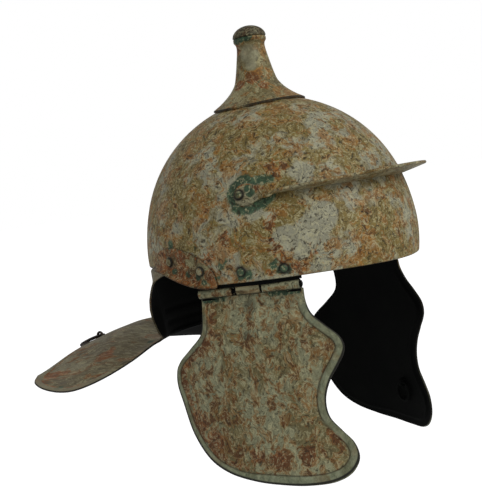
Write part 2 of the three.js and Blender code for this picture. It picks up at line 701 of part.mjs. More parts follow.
function cheekPlate() {
  // steps round the outline, of which some lie along the hinge
  const around = 42;
  const topSteps = 7;
  const insetShares = [1, 0.66, 0.36, 0.14];
  const centre = new THREE.Vector3(
    cheekRear + cheekWidth * cheekMiddleShares[0], cheekLength * cheekMiddleShares[1], 0);
  const sideSteps = around - topSteps;
  const rim = [];
  for (let i = 0; i <= sideSteps; i++) rim.push(cheekOutline.getPointAt(i / sideSteps));
  for (let i = 1; i < topSteps; i++) rim.push(rim[sideSteps].clone().lerp(rim[0], i / topSteps));
  const rows = insetShares.length + 2;
  return sheet((u, v, depth) => {
    const edge = rim[Math.round(u * around) % around];
    const reach = edge.distanceTo(centre);
    const border = lerp(cheekNarrowBorder, cheekWideBorder, smooth(edge.x, 0, cheekMiddle));
    const row = Math.round(v * rows);
    const slope = border * cheekSlopeShare;
    const marks = [...insetShares.map((share) => share * reach), border + slope, border, 0];
    const place = edge.clone().lerp(centre, Math.min(marks[row] / reach, 1));
    const full = smooth(place.y, 2 * knuckleRadius, cheekLength * cheekBorderShare);
    const raised = row > rows - 2 ? cheekRelief * full : 0;
    return onCheek(place.x, place.y, depth - raised);
  }, cheekWall, around, rows, true);
}

function cheekPiece() {
  const rear = bar(knuckleRadius, -hingeBack, -hingeBack + rearKnuckleLength, knuckleSides);
  const front = bar(knuckleRadius, hingeFront - frontKnuckleLength, hingeFront, knuckleSides);
  const bore = bar(knuckleBore, -hingeBack - overrun, hingeFront + overrun, knuckleSides);
  const gapBack = -hingeBack + rearKnuckleLength;
  const gapFront = hingeFront - frontKnuckleLength;
  const notch = new THREE.BoxGeometry(gapFront - gapBack, 4 * knuckleRadius, 2 * (knuckleRadius + turnGap));
  notch.translate((gapBack + gapFront) / 2, 0, 0);
  return cut(join(cheekPlate(), rear, front), bore, notch);
}

// Crest knob, seated on the crown

const knobHollowShare = 0.9;    // the hollow under the flare reaches this share of the foot's radius
const knobCollarShare = 0.55;   // the collar's lower edge, from the neck up to its top
const washerBendShare = 1.05;   // inside the wall the crown curves a little more

// How much lower the bowl is under a point than at its crown
function crownDrop(x, y) {
  const share = Math.hypot(x / bowlHalfLength, y / bowlHalfWidth);
  return bowlHeight * (1 - (1 - Math.min(share, 1) ** bowlCrownPower) ** (1 / bowlShoulderPower));
}

function knobStem() {
  const crown = bowlHeight + seatGap;
  const flange = knobFlangeRadius;
  const flareShares = [[1, 0], [0.845, 0.10], [0.7, 0.27], [0.58, 0.50], [0.49, 0.80]];
  const foot = crown + knobFootHeight;
  // heights are over the crown here, and the flared part is bent down on to the bowl below
  const outer = flareShares.map(([radiusShare, heightShare]) => [
    flange * radiusShare, crown + lerp(knobFlangeThickness, knobFootHeight, heightShare)]);
  const inner = flareShares.slice(0, 4).map(([radiusShare, heightShare]) => [
    flange * radiusShare - (radiusShare < 1 ? knobFlangeWall / 2 : 0),
    crown + (knobFootHeight - knobFlangeWall) * heightShare]);
  const profile = [
    [0, crown + knobCollarHeight + knobTenonLength],
    [knobTenonRadius, crown + knobCollarHeight + knobTenonLength],
    [knobTenonRadius, crown + knobCollarHeight],
    [knobCollarRadius, crown + knobCollarHeight],
    [knobCollarRadius, crown + lerp(knobNeckHeight, knobCollarHeight, knobCollarShare)],
    [knobNeckRadius, crown + knobNeckHeight],
    [knobFootRadius, foot],
    ...outer.reverse(),
    ...inner,
    [knobFootRadius * knobHollowShare, crown + seatGap],
    [knobSeatRadius, crown],
    [knobTangRadius, crown],
    [knobTangRadius, bowlHeight - bowlWall - knobWasherThickness - 3 * seatGap],
    [0, bowlHeight - bowlWall - knobWasherThickness - 3 * seatGap],
  ];
  const geometry = turned(profile, knobSideCount);
  const at = geometry.attributes.position;
  for (let i = 0; i < at.count; i++) {
    const [x, y] = [at.getX(i), at.getY(i)];
    const share = smooth(Math.hypot(x, y), knobTangRadius, knobFootRadius);
    const below = at.getZ(i) < crown + knobNeckHeight ? share * smooth(-at.getZ(i), -foot, -crown) : 0;
    at.setZ(i, at.getZ(i) - crownDrop(x, y) * below);
  }
  return weld(geometry);
}

function knobCap() {
  const base = bowlHeight + seatGap + knobCollarHeight + seatGap;
  const steps = 6;
  const dome = [];
  for (let i = 0; i <= steps; i++) {
    const turn = Math.PI / 2 * i / steps;
    dome.push([knobCapRadius * Math.sin(turn), base + knobCapHeight * Math.cos(turn)]);
  }
  return turned([...dome,
    [knobTenonRadius + seatGap, base],
    [knobTenonRadius + seatGap, base + knobTenonLength],
    [0, base + knobTenonLength]], knobSideCount);
}

function knobWasher() {
  const top = bowlHeight - bowlWall - seatGap;
  const washer = turned([
    [knobTangRadius + seatGap, top], [knobWasherRadius, top],
    [knobWasherRadius, top - knobWasherThickness], [knobTangRadius + seatGap, top - knobWasherThickness],
    [knobTangRadius + seatGap, top]], knobSideCount);
  const at = washer.attributes.position;
  for (let i = 0; i < at.count; i++) {
    at.setZ(i, at.getZ(i) - crownDrop(at.getX(i), at.getY(i)) * washerBendShare);
  }
  return weld(washer);
}

// Rings

function ring(radius, thickness) {
  return weld(new THREE.TorusGeometry(radius, thickness, 6, ringSideCount));
}

// A half loop of wire over a ring, in the plane of X and Z, with straight legs and bent feet
function loop(radius, thickness, leg, foot) {
  const path = [];
  const steps = 6;
  const side = (sign) => [
    ...(foot ? [[sign * (radius + foot), -leg], [sign * (radius + thickness), -leg]] : []),
    [sign * radius, foot ? thickness - leg : -leg],
    ...(foot ? [[sign * radius, (thickness - leg) / 2]] : []),
  ];
  path.push(...side(-1));
  for (let i = 0; i <= steps; i++) {
    const turn = Math.PI * (1 - i / steps);
    path.push([radius * Math.cos(turn), radius * Math.sin(turn)]);
  }
  path.push(...side(1).reverse());
  const places = path.map(([x, z]) => new THREE.Vector3(x, 0, z));
  const curve = new THREE.CatmullRomCurve3(places, false, 'centripetal');
  return weld(wire(curve, thickness, foot ? 20 : 12));
}

// On the cheek's inner face: a small loop soldered over a ring that hangs against the plate
const tieLoopStand = 2 * seatGap + tieRingWire + turnGap;

function cheekPlace(geometry) {
  const foot = onCheek(tieLoopAlong, tieLoopDown, cheekWall);
  const inward = onCheek(tieLoopAlong, tieLoopDown, cheekWall * 2).sub(foot).normalize();
  const downward = new THREE.Vector3(0, 0, -1).addScaledVector(inward, inward.z).normalize();
  const basis = new THREE.Matrix4().makeBasis(downward, inward.clone().cross(downward), inward);
  return weld(geometry.applyMatrix4(basis).translate(foot.x, foot.y, foot.z));
}

function tieLoop() {
  const geometry = loop(tieLoopRadius, tieLoopWire, tieLoopStand - seatGap, 0);
  return cheekPlace(geometry.translate(0, 0, tieLoopStand));
}

function tieRing() {
  return cheekPlace(ring(tieRingRadius, tieRingWire).translate(tieRingRadius, 0, tieLoopStand));
}

// On the neck guard: a loop clenched through it near the rear edge, with a ring lying back over it
const neckLoopStand = guardRelief + seatGap + neckRingWire;

function neckPlace(geometry) {
  let row = guardRows.length - 1;
  const reach = guardPoint(0, row).x + neckLoopInset;
  while (guardPoint(0, row).x < reach) row -= rowStepShare;
  const foot = guardPoint(0, row);
  const normal = guardNormal(0, row);
  const across = new THREE.Vector3(0, 1, 0);
  const basis = new THREE.Matrix4().makeBasis(across.clone().cross(normal), across, normal);
  return weld(geometry.applyMatrix4(basis).translate(foot.x, foot.y, foot.z));
}

function neckLoopHoles() {
  return [-1, 1].map((side) => neckPlace(new THREE.CylinderGeometry(
    neckLoopWire + seatGap, neckLoopWire + seatGap, 2 * overrun, 10)
    .rotateX(Math.PI / 2).translate(side * neckLoopRadius, 0, 0)));
}

function neckLoop() {
  const leg = neckLoopStand + sheetWall + seatGap + neckLoopWire;
  return neckPlace(loop(neckLoopRadius, neckLoopWire, leg, neckLoopFoot).translate(0, 0, neckLoopStand));
}

function neckRing() {
  return neckPlace(ring(neckRingRadius, neckRingWire).translate(-neckRingRadius, 0, neckLoopStand));
}

// The helmet

const patina = (color) => new THREE.MeshStandardMaterial({ color, roughness: 0.7, metalness: 0.4 });
const paleBronze = 0x8a8467;
const greyBronze = 0x625e48;
const brownBronze = 0x6e5b3c;
const greenBronze = 0x5a6350;
const darkIron = 0x2a2622;
const helmet = new THREE.Group();
helmet.add(rightHinge, leftHinge);

function add(name, geometry, color, parent = helmet) {
  const mesh = new THREE.Mesh(geometry, patina(color));
  mesh.name = name;
  parent.add(mesh);
}

function addPair(name, geometry, color, parents = [helmet, helmet]) {
  add(`${name}_right`, geometry, color, parents[0]);
  add(`${name}_left`, mirrored(geometry), color, parents[1]);
}

const hinges = [rightHinge, leftHinge];
add('bowl', bowl(), paleBronze);
add('neck_guard', cut(napeGuard(), bowlGrown, ...holes, ...neckLoopHoles()), greyBronze);
add('brow_guard', browGuard(), paleBronze);
addPair('ear_guard', earGuard(), brownBronze);
addPair('hinge_leaf', hingeLeaf(), greyBronze);
addPair('hinge_pin', hingePin(), brownBronze, hinges);
addPair('cheek_piece', cheekPiece(), greyBronze, hinges);
add('knob_stem', knobStem(), brownBronze);
add('knob_cap', knobCap(), greenBronze);
add('knob_washer', knobWasher(), greyBronze);
for (const one of rivets) {
  if (one.paired) addPair(one.name, rivet(one), greenBronze);
  else add(one.name, rivet(one), greenBronze);
}

addPair('tie_loop', tieLoop(), brownBronze, hinges);
addPair('tie_ring', tieRing(), brownBronze, hinges);
add('neck_loop', neckLoop(), darkIron);
add('neck_ring', neckRing(), darkIron);

export default helmet;
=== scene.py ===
import math

import bmesh
import bpy
import numpy as np
from mathutils import Matrix, Vector


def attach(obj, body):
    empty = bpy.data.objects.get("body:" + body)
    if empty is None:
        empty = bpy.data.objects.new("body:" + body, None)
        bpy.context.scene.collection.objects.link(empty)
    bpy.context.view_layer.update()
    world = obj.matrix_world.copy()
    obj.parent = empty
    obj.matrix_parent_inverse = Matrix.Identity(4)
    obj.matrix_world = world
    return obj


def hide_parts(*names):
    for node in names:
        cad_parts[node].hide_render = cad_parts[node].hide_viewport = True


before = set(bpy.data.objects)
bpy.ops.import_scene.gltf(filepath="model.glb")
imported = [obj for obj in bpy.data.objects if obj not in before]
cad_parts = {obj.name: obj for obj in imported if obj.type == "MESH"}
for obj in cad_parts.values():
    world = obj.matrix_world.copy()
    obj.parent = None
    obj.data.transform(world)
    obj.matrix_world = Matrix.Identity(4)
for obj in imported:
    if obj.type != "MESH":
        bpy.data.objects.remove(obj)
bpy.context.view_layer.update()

METRE = 0.001
TINY = 1e-9         # keeps a division safe
SAME_GAP = 1e-6     # two gaps are the same within this

# How fine the meshes are
SPAN_STEPS = 24     # between two marks of a smooth line
EDGE_STEPS = 5      # round a sheet's free edge
WIRE_SIDES = 14
WIRE_END_STEPS = 5
BOWL_COLUMNS = 240
BOWL_ROWS = 76
GUARD_COLUMNS = 96
GUARD_OUTLINE_COUNT = 160
EAR_COLUMNS = 90
EAR_FLAT_STEPS = 17
EAR_LIP_STEPS = 16
BROW_COLUMNS = (69, 36, 15)     # on the plate, the arm and the lug's rounded end
BROW_ROWS = 13
LEAF_COLUMNS = 60
LEAF_ROWS = 14
KNUCKLE_STEPS = 40
SEARCH_STEPS = 400  # where a place is looked for along a line
CHEEK_RIM_COUNT = 300
CHEEK_TOP_COUNT = 46
EDGE_INSIDE_SHARE = 0.25
WELD_DECIMALS = 4
SHARP_ANGLE = 50

# Gaps between pieces
FIT_GAP = 0.5
SEAT_GAP = 0.3
TURN_GAP = 0.35

# Bowl
BOWL_HALF_LENGTH = 116.6
BOWL_HALF_WIDTH = 100
BOWL_HEIGHT = 138.5
BOWL_WALL = 1.8
BOWL_SHOULDER_POWER = 2.54
BOWL_CROWN_POWER = 1.894
RIM_DRAW_IN = 2.4
RIM_DRAW_HEIGHT = 30
BACK_RIM_RISE = 15
FRONT_RIM_DIP = 1.6
FRONT_RIM_ANGLE = 50
EAR_FRONT_ANGLE = 88
EAR_BACK_ANGLE = 119

# Nape sheet and neck guard
NAPE_LAP = 14
NAPE_DEPTH = 47
NAPE_STEP_DROP = 0.6
NAPE_STEP_HEIGHT = 3.5
NAPE_STEP_FADE = 17
NAPE_RIB_HEIGHT = 1.6
NAPE_RIB_WIDTH = 7
NAPE_RIB_SPACING = 10.5
NAPE_FLANGE = 7
GUARD_REACH = 121
GUARD_HALF_WIDTH = 116
GUARD_DROOP = 30
GUARD_DROOP_POWER = 1.9
SHEET_WALL = 1.6
GUARD_BORDER = 5
GUARD_BORDER_SLOPE = 2.5
GUARD_RELIEF = 0.8
NAPE_RIVET_ANGLE = 25
NAPE_FLANGE_SHARE = 0.78    # the free edges start to turn out this far from the middle
NAPE_RIB_END_SHARES = (0.3, 0.5)
GUARD_ARC_ANGLE = 24

# Rivets
RIVET_HEAD_RADIUS = 3.5
RIVET_HEAD_HEIGHT = 1.9
RIVET_SHANK_RADIUS = 1.5
RIVET_TAIL_RADIUS = 2.6
RIVET_TAIL_HEIGHT = 1.1

# Brow guard
BROW_HEIGHT = 62
BROW_REACH = 23
BROW_TILT = 14.5
BROW_THICKNESS = 2.2
BROW_NECK_WIDTH = 8
BROW_PLATE_POWER = 1.4
BROW_TWIST_ANGLE = 56
BROW_PLATE_ANGLE = 58
BROW_LUG_ANGLE = 70.2
BROW_LUG_HEIGHT = 63
BROW_LUG_RADIUS = 8.3
BROW_RIVET_SHIFT = 2.2
BROW_ARM_SHARE = 0.3        # the arm is narrow over this share of its length, and then widens to the lug
BROW_TWIST_SHARE = 0.55     # and has turned flat to the bowl after this share

# Ear guards
EAR_GUARD_WALL = 1.3
EAR_GUARD_FRONT_ANGLE = 86.5
EAR_GUARD_BACK_ANGLE = 123.5
EAR_GUARD_ARCH = 21
EAR_GUARD_FRONT_RISE = 4
EAR_FLAT_HEIGHT = 2.6
EAR_LIP_RADIUS = 5.5
EAR_LIP_END_RADIUS = 1.6
EAR_LIP_POWER = 0.7
EAR_LIP_TURN = 78
EAR_RIVET_BACK = (109, 20.5)
EAR_RIVET_FRONT = (92.8, 11.9)

# Cheek hinges
HINGE_INSET = 6.1
HINGE_DROP = 5.9
HINGE_TURN = 15.2
HINGE_BACK = 12.9
HINGE_FRONT = 67.6
KNUCKLE_RADIUS = 3.8
PIN_RADIUS = 1.6
PIN_HEAD_RADIUS = 2.4
PIN_HEAD_LENGTH = 1.2
MIDDLE_KNUCKLE_BACK = 17.8
MIDDLE_KNUCKLE_LENGTH = 19.1
REAR_KNUCKLE_LENGTH = 27.3
FRONT_KNUCKLE_LENGTH = 29.4
KNUCKLE_TURN = 262          # how far round the cheek plate's roll goes
FREE_EDGE_WAVE = 0.1        # the roll's free edge isn't quite straight
WAVE_TURN = 0.31            # in radians to a millimetre
WAVE_START = 1.3

# Cheek pieces
CHEEK_WALL = 1.6
CHEEK_LENGTH = 149
CHEEK_WIDTH = 139.3
CHEEK_SPLAY = 5.6
CHEEK_CROSS_DROP = 10.7
CHEEK_DOWN_DROP = 10.4
CHEEK_TIP_DROP = 7.9
CHEEK_NARROW_BORDER = 3.1
CHEEK_WIDE_BORDER = 5.2
CHEEK_RELIEF = 0.9
CHEEK_REAR = -47.4
CHEEK_BORDER_SLOPE = 1.6
GROOVE_DEPTH = 0.25         # a shallow line inside the border
GROOVE_GAP = 2.2
GROOVE_WIDTH = 1.1

# Hinge leaves inside the bowl
LEAF_WALL = 1.4
LEAF_BOTTOM = -1.8
LEAF_TOP = 17
STRAP_LAP = 2.8
LEAF_FRONT_ANGLE = 53
LEAF_BACK_ANGLE = 97
LEAF_RIVET_MIDDLE = (75.6, 8.5)
LEAF_RIVET_FRONT = (59.1, 7.2)

# Crest knob
KNOB_FLANGE_RADIUS = 37.6
KNOB_FLANGE_THICKNESS = 1.5
KNOB_FOOT_RADIUS = 17.2
KNOB_FOOT_HEIGHT = 13.5
KNOB_NECK_RADIUS = 11.6
KNOB_NECK_HEIGHT = 42.5
KNOB_COLLAR_RADIUS = 13.3
KNOB_COLLAR_HEIGHT = 48.3
KNOB_CAP_RADIUS = 13.6
KNOB_CAP_HEIGHT = 9.6
KNOB_TANG_RADIUS = 3.5
KNOB_WASHER_RADIUS = 11
KNOB_WASHER_THICKNESS = 1.6
KNOB_WAIST_RISE_SHARE = 0.68
KNOB_WAIST_SWELL = 1.9
KNOB_ROUNDING = 0.6

# Rings
TIE_RING_RADIUS = 8
TIE_RING_WIRE = 1.15
TIE_LOOP_WIRE = 1
TIE_LOOP_RADIUS = 2.9
TIE_LOOP_ALONG = 52
TIE_LOOP_DOWN = 112
NECK_RING_RADIUS = 11.85
NECK_RING_WIRE = 1.5
NECK_LOOP_WIRE = 1.2
NECK_LOOP_RADIUS = 3.2
NECK_LOOP_INSET = 8.5
NECK_LOOP_FOOT = 3


# Small sums on arrays of points

def unit(vectors):
    return vectors / np.linalg.norm(vectors, axis=-1, keepdims=True)


def smooth(value, low, high):
    share = np.clip((value - low) / (high - low), 0, 1)
    return share * share * (3 - 2 * share)


def points(x, y, z):
    return np.stack(np.broadcast_arrays(x, y, z), axis=-1).astype(float)


def column(values):
    return np.asarray(values, float)[:, None]


def through(marks, count):
    """A smooth line through the marks, as count + 1 places at even steps of its length."""
    marks = np.asarray(marks, float)
    all_marks = np.vstack([2 * marks[0] - marks[1], marks, 2 * marks[-1] - marks[-2]])
    fine = [marks[:1]]
    share = np.linspace(0, 1, SPAN_STEPS + 1)[1:, None]
    for k in range(1, len(all_marks) - 2):
        p = all_marks[k - 1:k + 3]
        gap = np.maximum(np.linalg.norm(np.diff(p, axis=0), axis=1), TINY) ** 0.5
        start = (p[1] - p[0]) / gap[0] - (p[2] - p[0]) / (gap[0] + gap[1]) + (p[2] - p[1]) / gap[1]
        end = (p[2] - p[1]) / gap[1] - (p[3] - p[1]) / (gap[1] + gap[2]) + (p[3] - p[2]) / gap[2]
        start, end = start * gap[1], end * gap[1]
        fine.append(p[1] + start * share + (3 * (p[2] - p[1]) - 2 * start - end) * share ** 2
                    + (2 * (p[1] - p[2]) + start + end) * share ** 3)
    line = np.vstack(fine)
    length = np.concatenate([[0], np.cumsum(np.linalg.norm(np.diff(line, axis=0), axis=1))])
    at = np.linspace(0, length[-1], count + 1)
    return np.stack([np.interp(at, length, line[:, k]) for k in range(line.shape[1])], axis=1)


def nearest(places, outline):
    """How far each place is from a closed outline of points."""
    ends = np.roll(outline, -1, axis=0)
    run = ends - outline
    best = np.full(places.shape[:-1], np.inf)
    for a, r in zip(outline, run):
        share = np.clip(((places - a) @ r) / max(r @ r, TINY), 0, 1)
        best = np.minimum(best, np.linalg.norm(places - a - share[..., None] * r, axis=-1))
    return best


# Meshes: each is (vertices in mm, faces, how much each vertex is on an inner, blackened face)

def grid(rows, columns, start=0, around=False):
    wraps = rows if around else rows - 1
    faces = []
    for i in range(wraps):
        for j in range(columns - 1):
            a, b = start + i * columns + j, start + (i + 1) % rows * columns + j
            faces.append((a, b, b + 1, a + 1))
    return faces


def sheet(outer, inner, around=False, bulge=1.0):
    """A thin plate between two grids of points, with rounded free edges: bulge is 1 for a half round.
    A plate that goes around closes on itself along its first side and has a pole at the second
    side's start."""
    rows, columns = outer.shape[:2]
    last = columns - 1
    if around:
        edge = [(i, last) for i in range(rows)]
    else:
        edge = ([(i, 0) for i in range(rows - 1)] + [(rows - 1, j) for j in range(last)]
                + [(i, last) for i in range(rows - 1, 0, -1)] + [(0, j) for j in range(last, 0, -1)])
    i, j = np.array(edge).T
    near_i = i if around else np.clip(i, 1, rows - 2)
    near_j = np.clip(j, 1, columns - 2)
    middle = (outer + inner) / 2
    half = np.linalg.norm(outer[i, j] - inner[i, j], axis=1)[:, None] / 2
    thick = unit(outer[i, j] - inner[i, j])
    rim = middle[i, j]
    away = unit(np.cross(unit(np.roll(rim, -1, 0) - np.roll(rim, 1, 0)), thick))
    away *= np.sign(np.sum(away * (rim - middle[near_i, near_j]), axis=1, keepdims=True))
    rim = rim - away * half * bulge
    outer, inner = outer.copy(), inner.copy()
    outer[i, j], inner[i, j] = rim + thick * half, rim - thick * half
    count = rows * columns
    vertices = [outer.reshape(-1, 3), inner.reshape(-1, 3)]
    faces = grid(rows, columns, 0, around) + [f[::-1] for f in grid(rows, columns, count, around)]
    loops = [i * columns + j]
    for step in range(1, EDGE_STEPS):
        turn = math.pi * step / EDGE_STEPS
        vertices.append(rim + away * half * bulge * math.sin(turn) + thick * half * math.cos(turn))
        loops.append(2 * count + (step - 1) * len(edge) + np.arange(len(edge)))
    loops.append(count + i * columns + j)
    for a, b in zip(loops, loops[1:]):
        faces += zip(a, np.roll(a, -1), np.roll(b, -1), b)
    rounded = np.full((EDGE_STEPS - 1) * len(edge), EDGE_INSIDE_SHARE)
    return np.vstack(vertices), faces, np.concatenate([np.zeros(count), np.ones(count), rounded])


def turned(profile, segments):
    """A revolved solid from pairs of radius and height that start and end on the axis."""
    profile = np.asarray(profile, float)
    turn = column(np.arange(segments) * 2 * math.pi / segments)
    made = points(profile[:, 0] * np.cos(turn), profile[:, 0] * np.sin(turn), profile[:, 1])
    return made.reshape(-1, 3), grid(segments, len(profile), 0, True), np.zeros(segments * len(profile))


def wire(path, radius, sideways, closed=False):
    """A round wire along a path that lies in one plane, whose normal is sideways. Open ends are rounded."""
    if closed:
        ahead = unit(np.roll(path, -1, 0) - np.roll(path, 1, 0))
        reach = np.full(len(path), float(radius))
    else:
        ahead = unit(np.gradient(path, axis=0))
        turns = np.linspace(0, math.pi / 2, WIRE_END_STEPS)
        start = [path[0] + ahead[0] * radius * (1 - math.sin(t)) for t in turns[::-1]]
        end = [path[-1] - ahead[-1] * radius * (1 - math.sin(t)) for t in turns]
        # the rounded ends take the place of the two places at each end
        path = np.vstack([start, path[2:-2], end])
        first, last = (np.repeat(one, WIRE_END_STEPS, 0) for one in (ahead[:1], ahead[-1:]))
        ahead = np.vstack([first, ahead[2:-2], last])
        rounding = radius * np.cos(turns)
        straight = np.full(len(path) - 2 * WIRE_END_STEPS, float(radius))
        reach = np.concatenate([rounding[::-1], straight, rounding])
    side = np.asarray(sideways, float)
    up = unit(np.cross(ahead, side))
    turn = column(np.arange(WIRE_SIDES) * 2 * math.pi / WIRE_SIDES)
    made = path[:, None] + reach[:, None, None] * (up[:, None] * np.cos(turn) + side * np.sin(turn))
    count = len(path)
    faces = []
    for a in range(count if closed else count - 1):
        a, b = a * WIRE_SIDES, (a + 1) % count * WIRE_SIDES
        for k in range(WIRE_SIDES):
            m = (k + 1) % WIRE_SIDES
            faces.append((a + k, a + m, b + m, b + k))
    return made.reshape(-1, 3), faces, np.zeros(count * WIRE_SIDES)


def joined(*meshes):
    vertices, faces, inside, start = [], [], [], 0
    for v, f, i in meshes:
        vertices.append(v)
        faces += [tuple(int(k) + start for k in face) for face in f]
        inside.append(i)
        start += len(v)
    return np.vstack(vertices), faces, np.concatenate(inside)


def welded(mesh):
    """The same mesh with vertices in one place made one, and faces without length left out."""
    vertices, faces, inside = mesh
    _, first, which = np.unique(
        np.round(vertices, WELD_DECIMALS), axis=0, return_index=True, return_inverse=True)
    which = which.ravel()
    kept = []
    for face in faces:
        short = list(dict.fromkeys(int(which[k]) for k in face))
        if len(short) > 2:
            kept.append(short)
    return vertices[first], kept, inside[first]


def placed(mesh, place, basis):
    """Moves a mesh: basis holds the directions of its own X, Y and Z."""
    vertices, faces, inside = mesh
    return vertices @ np.asarray(basis, float) + np.asarray(place, float), faces, inside


def mirrored(mesh):
    vertices, faces, inside = mesh
    return vertices * [1, -1, 1], [tuple(face)[::-1] for face in faces], inside


# Bowl

SLOPE_STEPS = 5000      # the slope is measured over two of these
CROWN_SHARE = 0.9999    # above this the bowl is taken as level


def bowl_share(height):
    """The bowl's width at a height, as a share of its greatest."""
    up = np.clip(height / BOWL_HEIGHT, 0, 1)
    drawn = np.maximum(1 - height / RIM_DRAW_HEIGHT, 0)
    return ((1 - up ** BOWL_SHOULDER_POWER) ** (1 / BOWL_CROWN_POWER)
            - RIM_DRAW_IN / BOWL_HALF_WIDTH * drawn ** 2)


def bowl_normal(angle, height):
    angle, height = np.broadcast_arrays(np.asarray(angle, float), np.asarray(height, float))
    step = BOWL_HEIGHT / SLOPE_STEPS
    slope = (bowl_share(height + step) - bowl_share(height - step)) / (2 * step)
    turn = np.radians(angle)
    normal = points(np.cos(turn) / BOWL_HALF_LENGTH, -np.sin(turn) / BOWL_HALF_WIDTH, -slope)
    top = (height > BOWL_HEIGHT * CROWN_SHARE)[..., None]
    return unit(np.where(top, np.array([0.0, 0.0, 1.0]), normal))


def on_bowl(angle, height, out=0.0):
    """A place on the bowl's outer face, or out from it."""
    share = bowl_share(np.asarray(height, float))
    turn = np.radians(np.asarray(angle, float))
    place = points(BOWL_HALF_LENGTH * share * np.cos(turn), -BOWL_HALF_WIDTH * share * np.sin(turn), height)
    return place + bowl_normal(angle, height) * np.asarray(out, float)[..., None]


def edge_height(angle):
    """The height of the bowl's edge, which rises behind the ears and dips in front."""
    side = np.abs(angle)
    return (BACK_RIM_RISE * smooth(side, EAR_FRONT_ANGLE, EAR_BACK_ANGLE)
            - FRONT_RIM_DIP * (1 - smooth(side, 0, FRONT_RIM_ANGLE)))


def bowl():
    angle = column(np.arange(BOWL_COLUMNS) * 360 / BOWL_COLUMNS - 180)
    edge = edge_height(angle)
    height = edge + (BOWL_HEIGHT - edge) * np.cos(math.pi / 2 * np.linspace(0, 1, BOWL_ROWS)[None])
    return sheet(on_bowl(angle, height), on_bowl(angle, height, -BOWL_WALL), True)


def crown_drop(x, y):
    """How much lower the bowl is under a point than at its crown."""
    share = np.minimum(np.hypot(x / BOWL_HALF_LENGTH, y / BOWL_HALF_WIDTH), 1)
    return BOWL_HEIGHT * (1 - (1 - share ** BOWL_CROWN_POWER) ** (1 / BOWL_SHOULDER_POWER))


# Nape sheet and neck guard

# share of the way down, half the angle round the back, and how much of the edge flange is there
NAPE_ROW_SHARES = [
    (0, 73, 0), (0.11, 73, 0), (0.19, 71, 0), (0.235, 67, 0), (0.28, 57, 0), (0.35, 46, 0.1),
    (0.44, 40, 0.4), (0.55, 37, 0.75), (0.66, 35.5, 0.9), (0.77, 35, 0.9), (0.86, 35, 0.75), (0.965, 35, 0.5)]
# the middle's shares of the reach and droop, then the side edge's of the reach, width and droop
GUARD_ROW_SHARES = [
    (0, 0, -0.12, 0.49, 0), (0.06, -0.07, -0.08, 0.57, 0.16), (0.18, -0.22, -0.03, 0.69, 0.385),
    (0.31, -0.32, 0.05, 0.83, 0.62), (0.45, -0.30, 0.17, 0.93, 0.83), (0.59, -0.18, 0.31, 0.985, 0.97),
    (0.72, -0.05, 0.45, 1, 0.99), (0.83, 0.09, 0.60, 0.99, 0.92), (0.93, 0.23, 0.73, 0.94, 0.84),
    (0.96, 0.29, 0.80, 0.885, 0.78), (1, 0.35, 0.87, 0.79, 0.725)]


# what a row of the sheet holds: ON_NAPE is 1 above the fold, and BELL how much the sides hang
# as a bell
MIDDLE_X, MIDDLE_Z, END_X, END_Y, END_Z, ARC, FLANGE, ON_NAPE, BELL = range(9)


def sheet_rows():
    inset = -BOWL_WALL - FIT_GAP
    rows = []
    for down, arc, flange in NAPE_ROW_SHARES:
        height = BACK_RIM_RISE + NAPE_LAP - (BACK_RIM_RISE + NAPE_LAP + NAPE_DEPTH) * down
        x = on_bowl(180, max(height, BACK_RIM_RISE), inset)[0]
        y = -on_bowl(90, max(height, BACK_RIM_RISE), inset)[1]
        turn = math.radians(arc)
        rows.append((x, height, x * math.cos(turn), y * math.sin(turn), height, arc, flange, 1, 0))
    fold = -on_bowl(180, 0)[0] - BOWL_WALL - FIT_GAP
    for middle, fall, back, width, droop in GUARD_ROW_SHARES:
        rows.append((-fold - GUARD_REACH * middle, -NAPE_DEPTH - GUARD_DROOP * fall,
                     -fold - GUARD_REACH * back, GUARD_HALF_WIDTH * width,
                     -NAPE_DEPTH - GUARD_DROOP * droop, GUARD_ARC_ANGLE, 0, 0, max(middle, 0) ** 2))
    return np.array(rows)


SHEET_ROWS = sheet_rows()
FOLD_ROW = len(NAPE_ROW_SHARES)
LAST_ROW = len(SHEET_ROWS) - 1
# the mesh's lines lie closer at the fold, at the rear and over the border's slope at the sides
LINE_COUNTS = [(0, FOLD_ROW - 1, 55), (FOLD_ROW - 1, FOLD_ROW, 8), (FOLD_ROW, LAST_ROW - 2, 71),
               (LAST_ROW - 2, LAST_ROW, 21)]
SIDE_INSETS = np.array([0, 0.9, 1.8, 2.7, 3.6, 4.4, 5.1, 5.8, 6.6, 7.5, 8.6, 10])


def sheet_place(u, row):
    """A place on the sheet's face: u from -1 at the right edge to 1 at the left, row down to the rear."""
    low = np.clip(np.floor(row).astype(int), 0, LAST_ROW - 1)
    share = (row - low)[..., None]

    def at(index):
        one = SHEET_ROWS[np.clip(index, 0, LAST_ROW)]
        turn = np.radians(one[..., ARC])
        bend = (1 - np.cos(turn * u)) / (1 - np.cos(turn))
        aside = np.sin(turn * u) / np.sin(turn)
        even = np.abs(u) ** GUARD_DROOP_POWER
        bell = ((1 - np.cos(math.pi * u)) / 2 - even) * one[..., BELL]
        drop = np.where(one[..., ON_NAPE] > 0, 0, even + bell)
        x = one[..., MIDDLE_X] + (one[..., END_X] - one[..., MIDDLE_X]) * bend
        z = one[..., MIDDLE_Z] + (one[..., END_Z] - one[..., MIDDLE_Z]) * drop
        return points(x, one[..., END_Y] * aside, z)

    # a smooth line through the rows before and after
    a, b, c, d = (at(low + k) for k in (-1, 0, 1, 2))
    return 0.5 * (2 * b + (c - a) * share + (2 * a - 5 * b + 4 * c - d) * share ** 2
                  + (3 * b - a - 3 * c + d) * share ** 3)


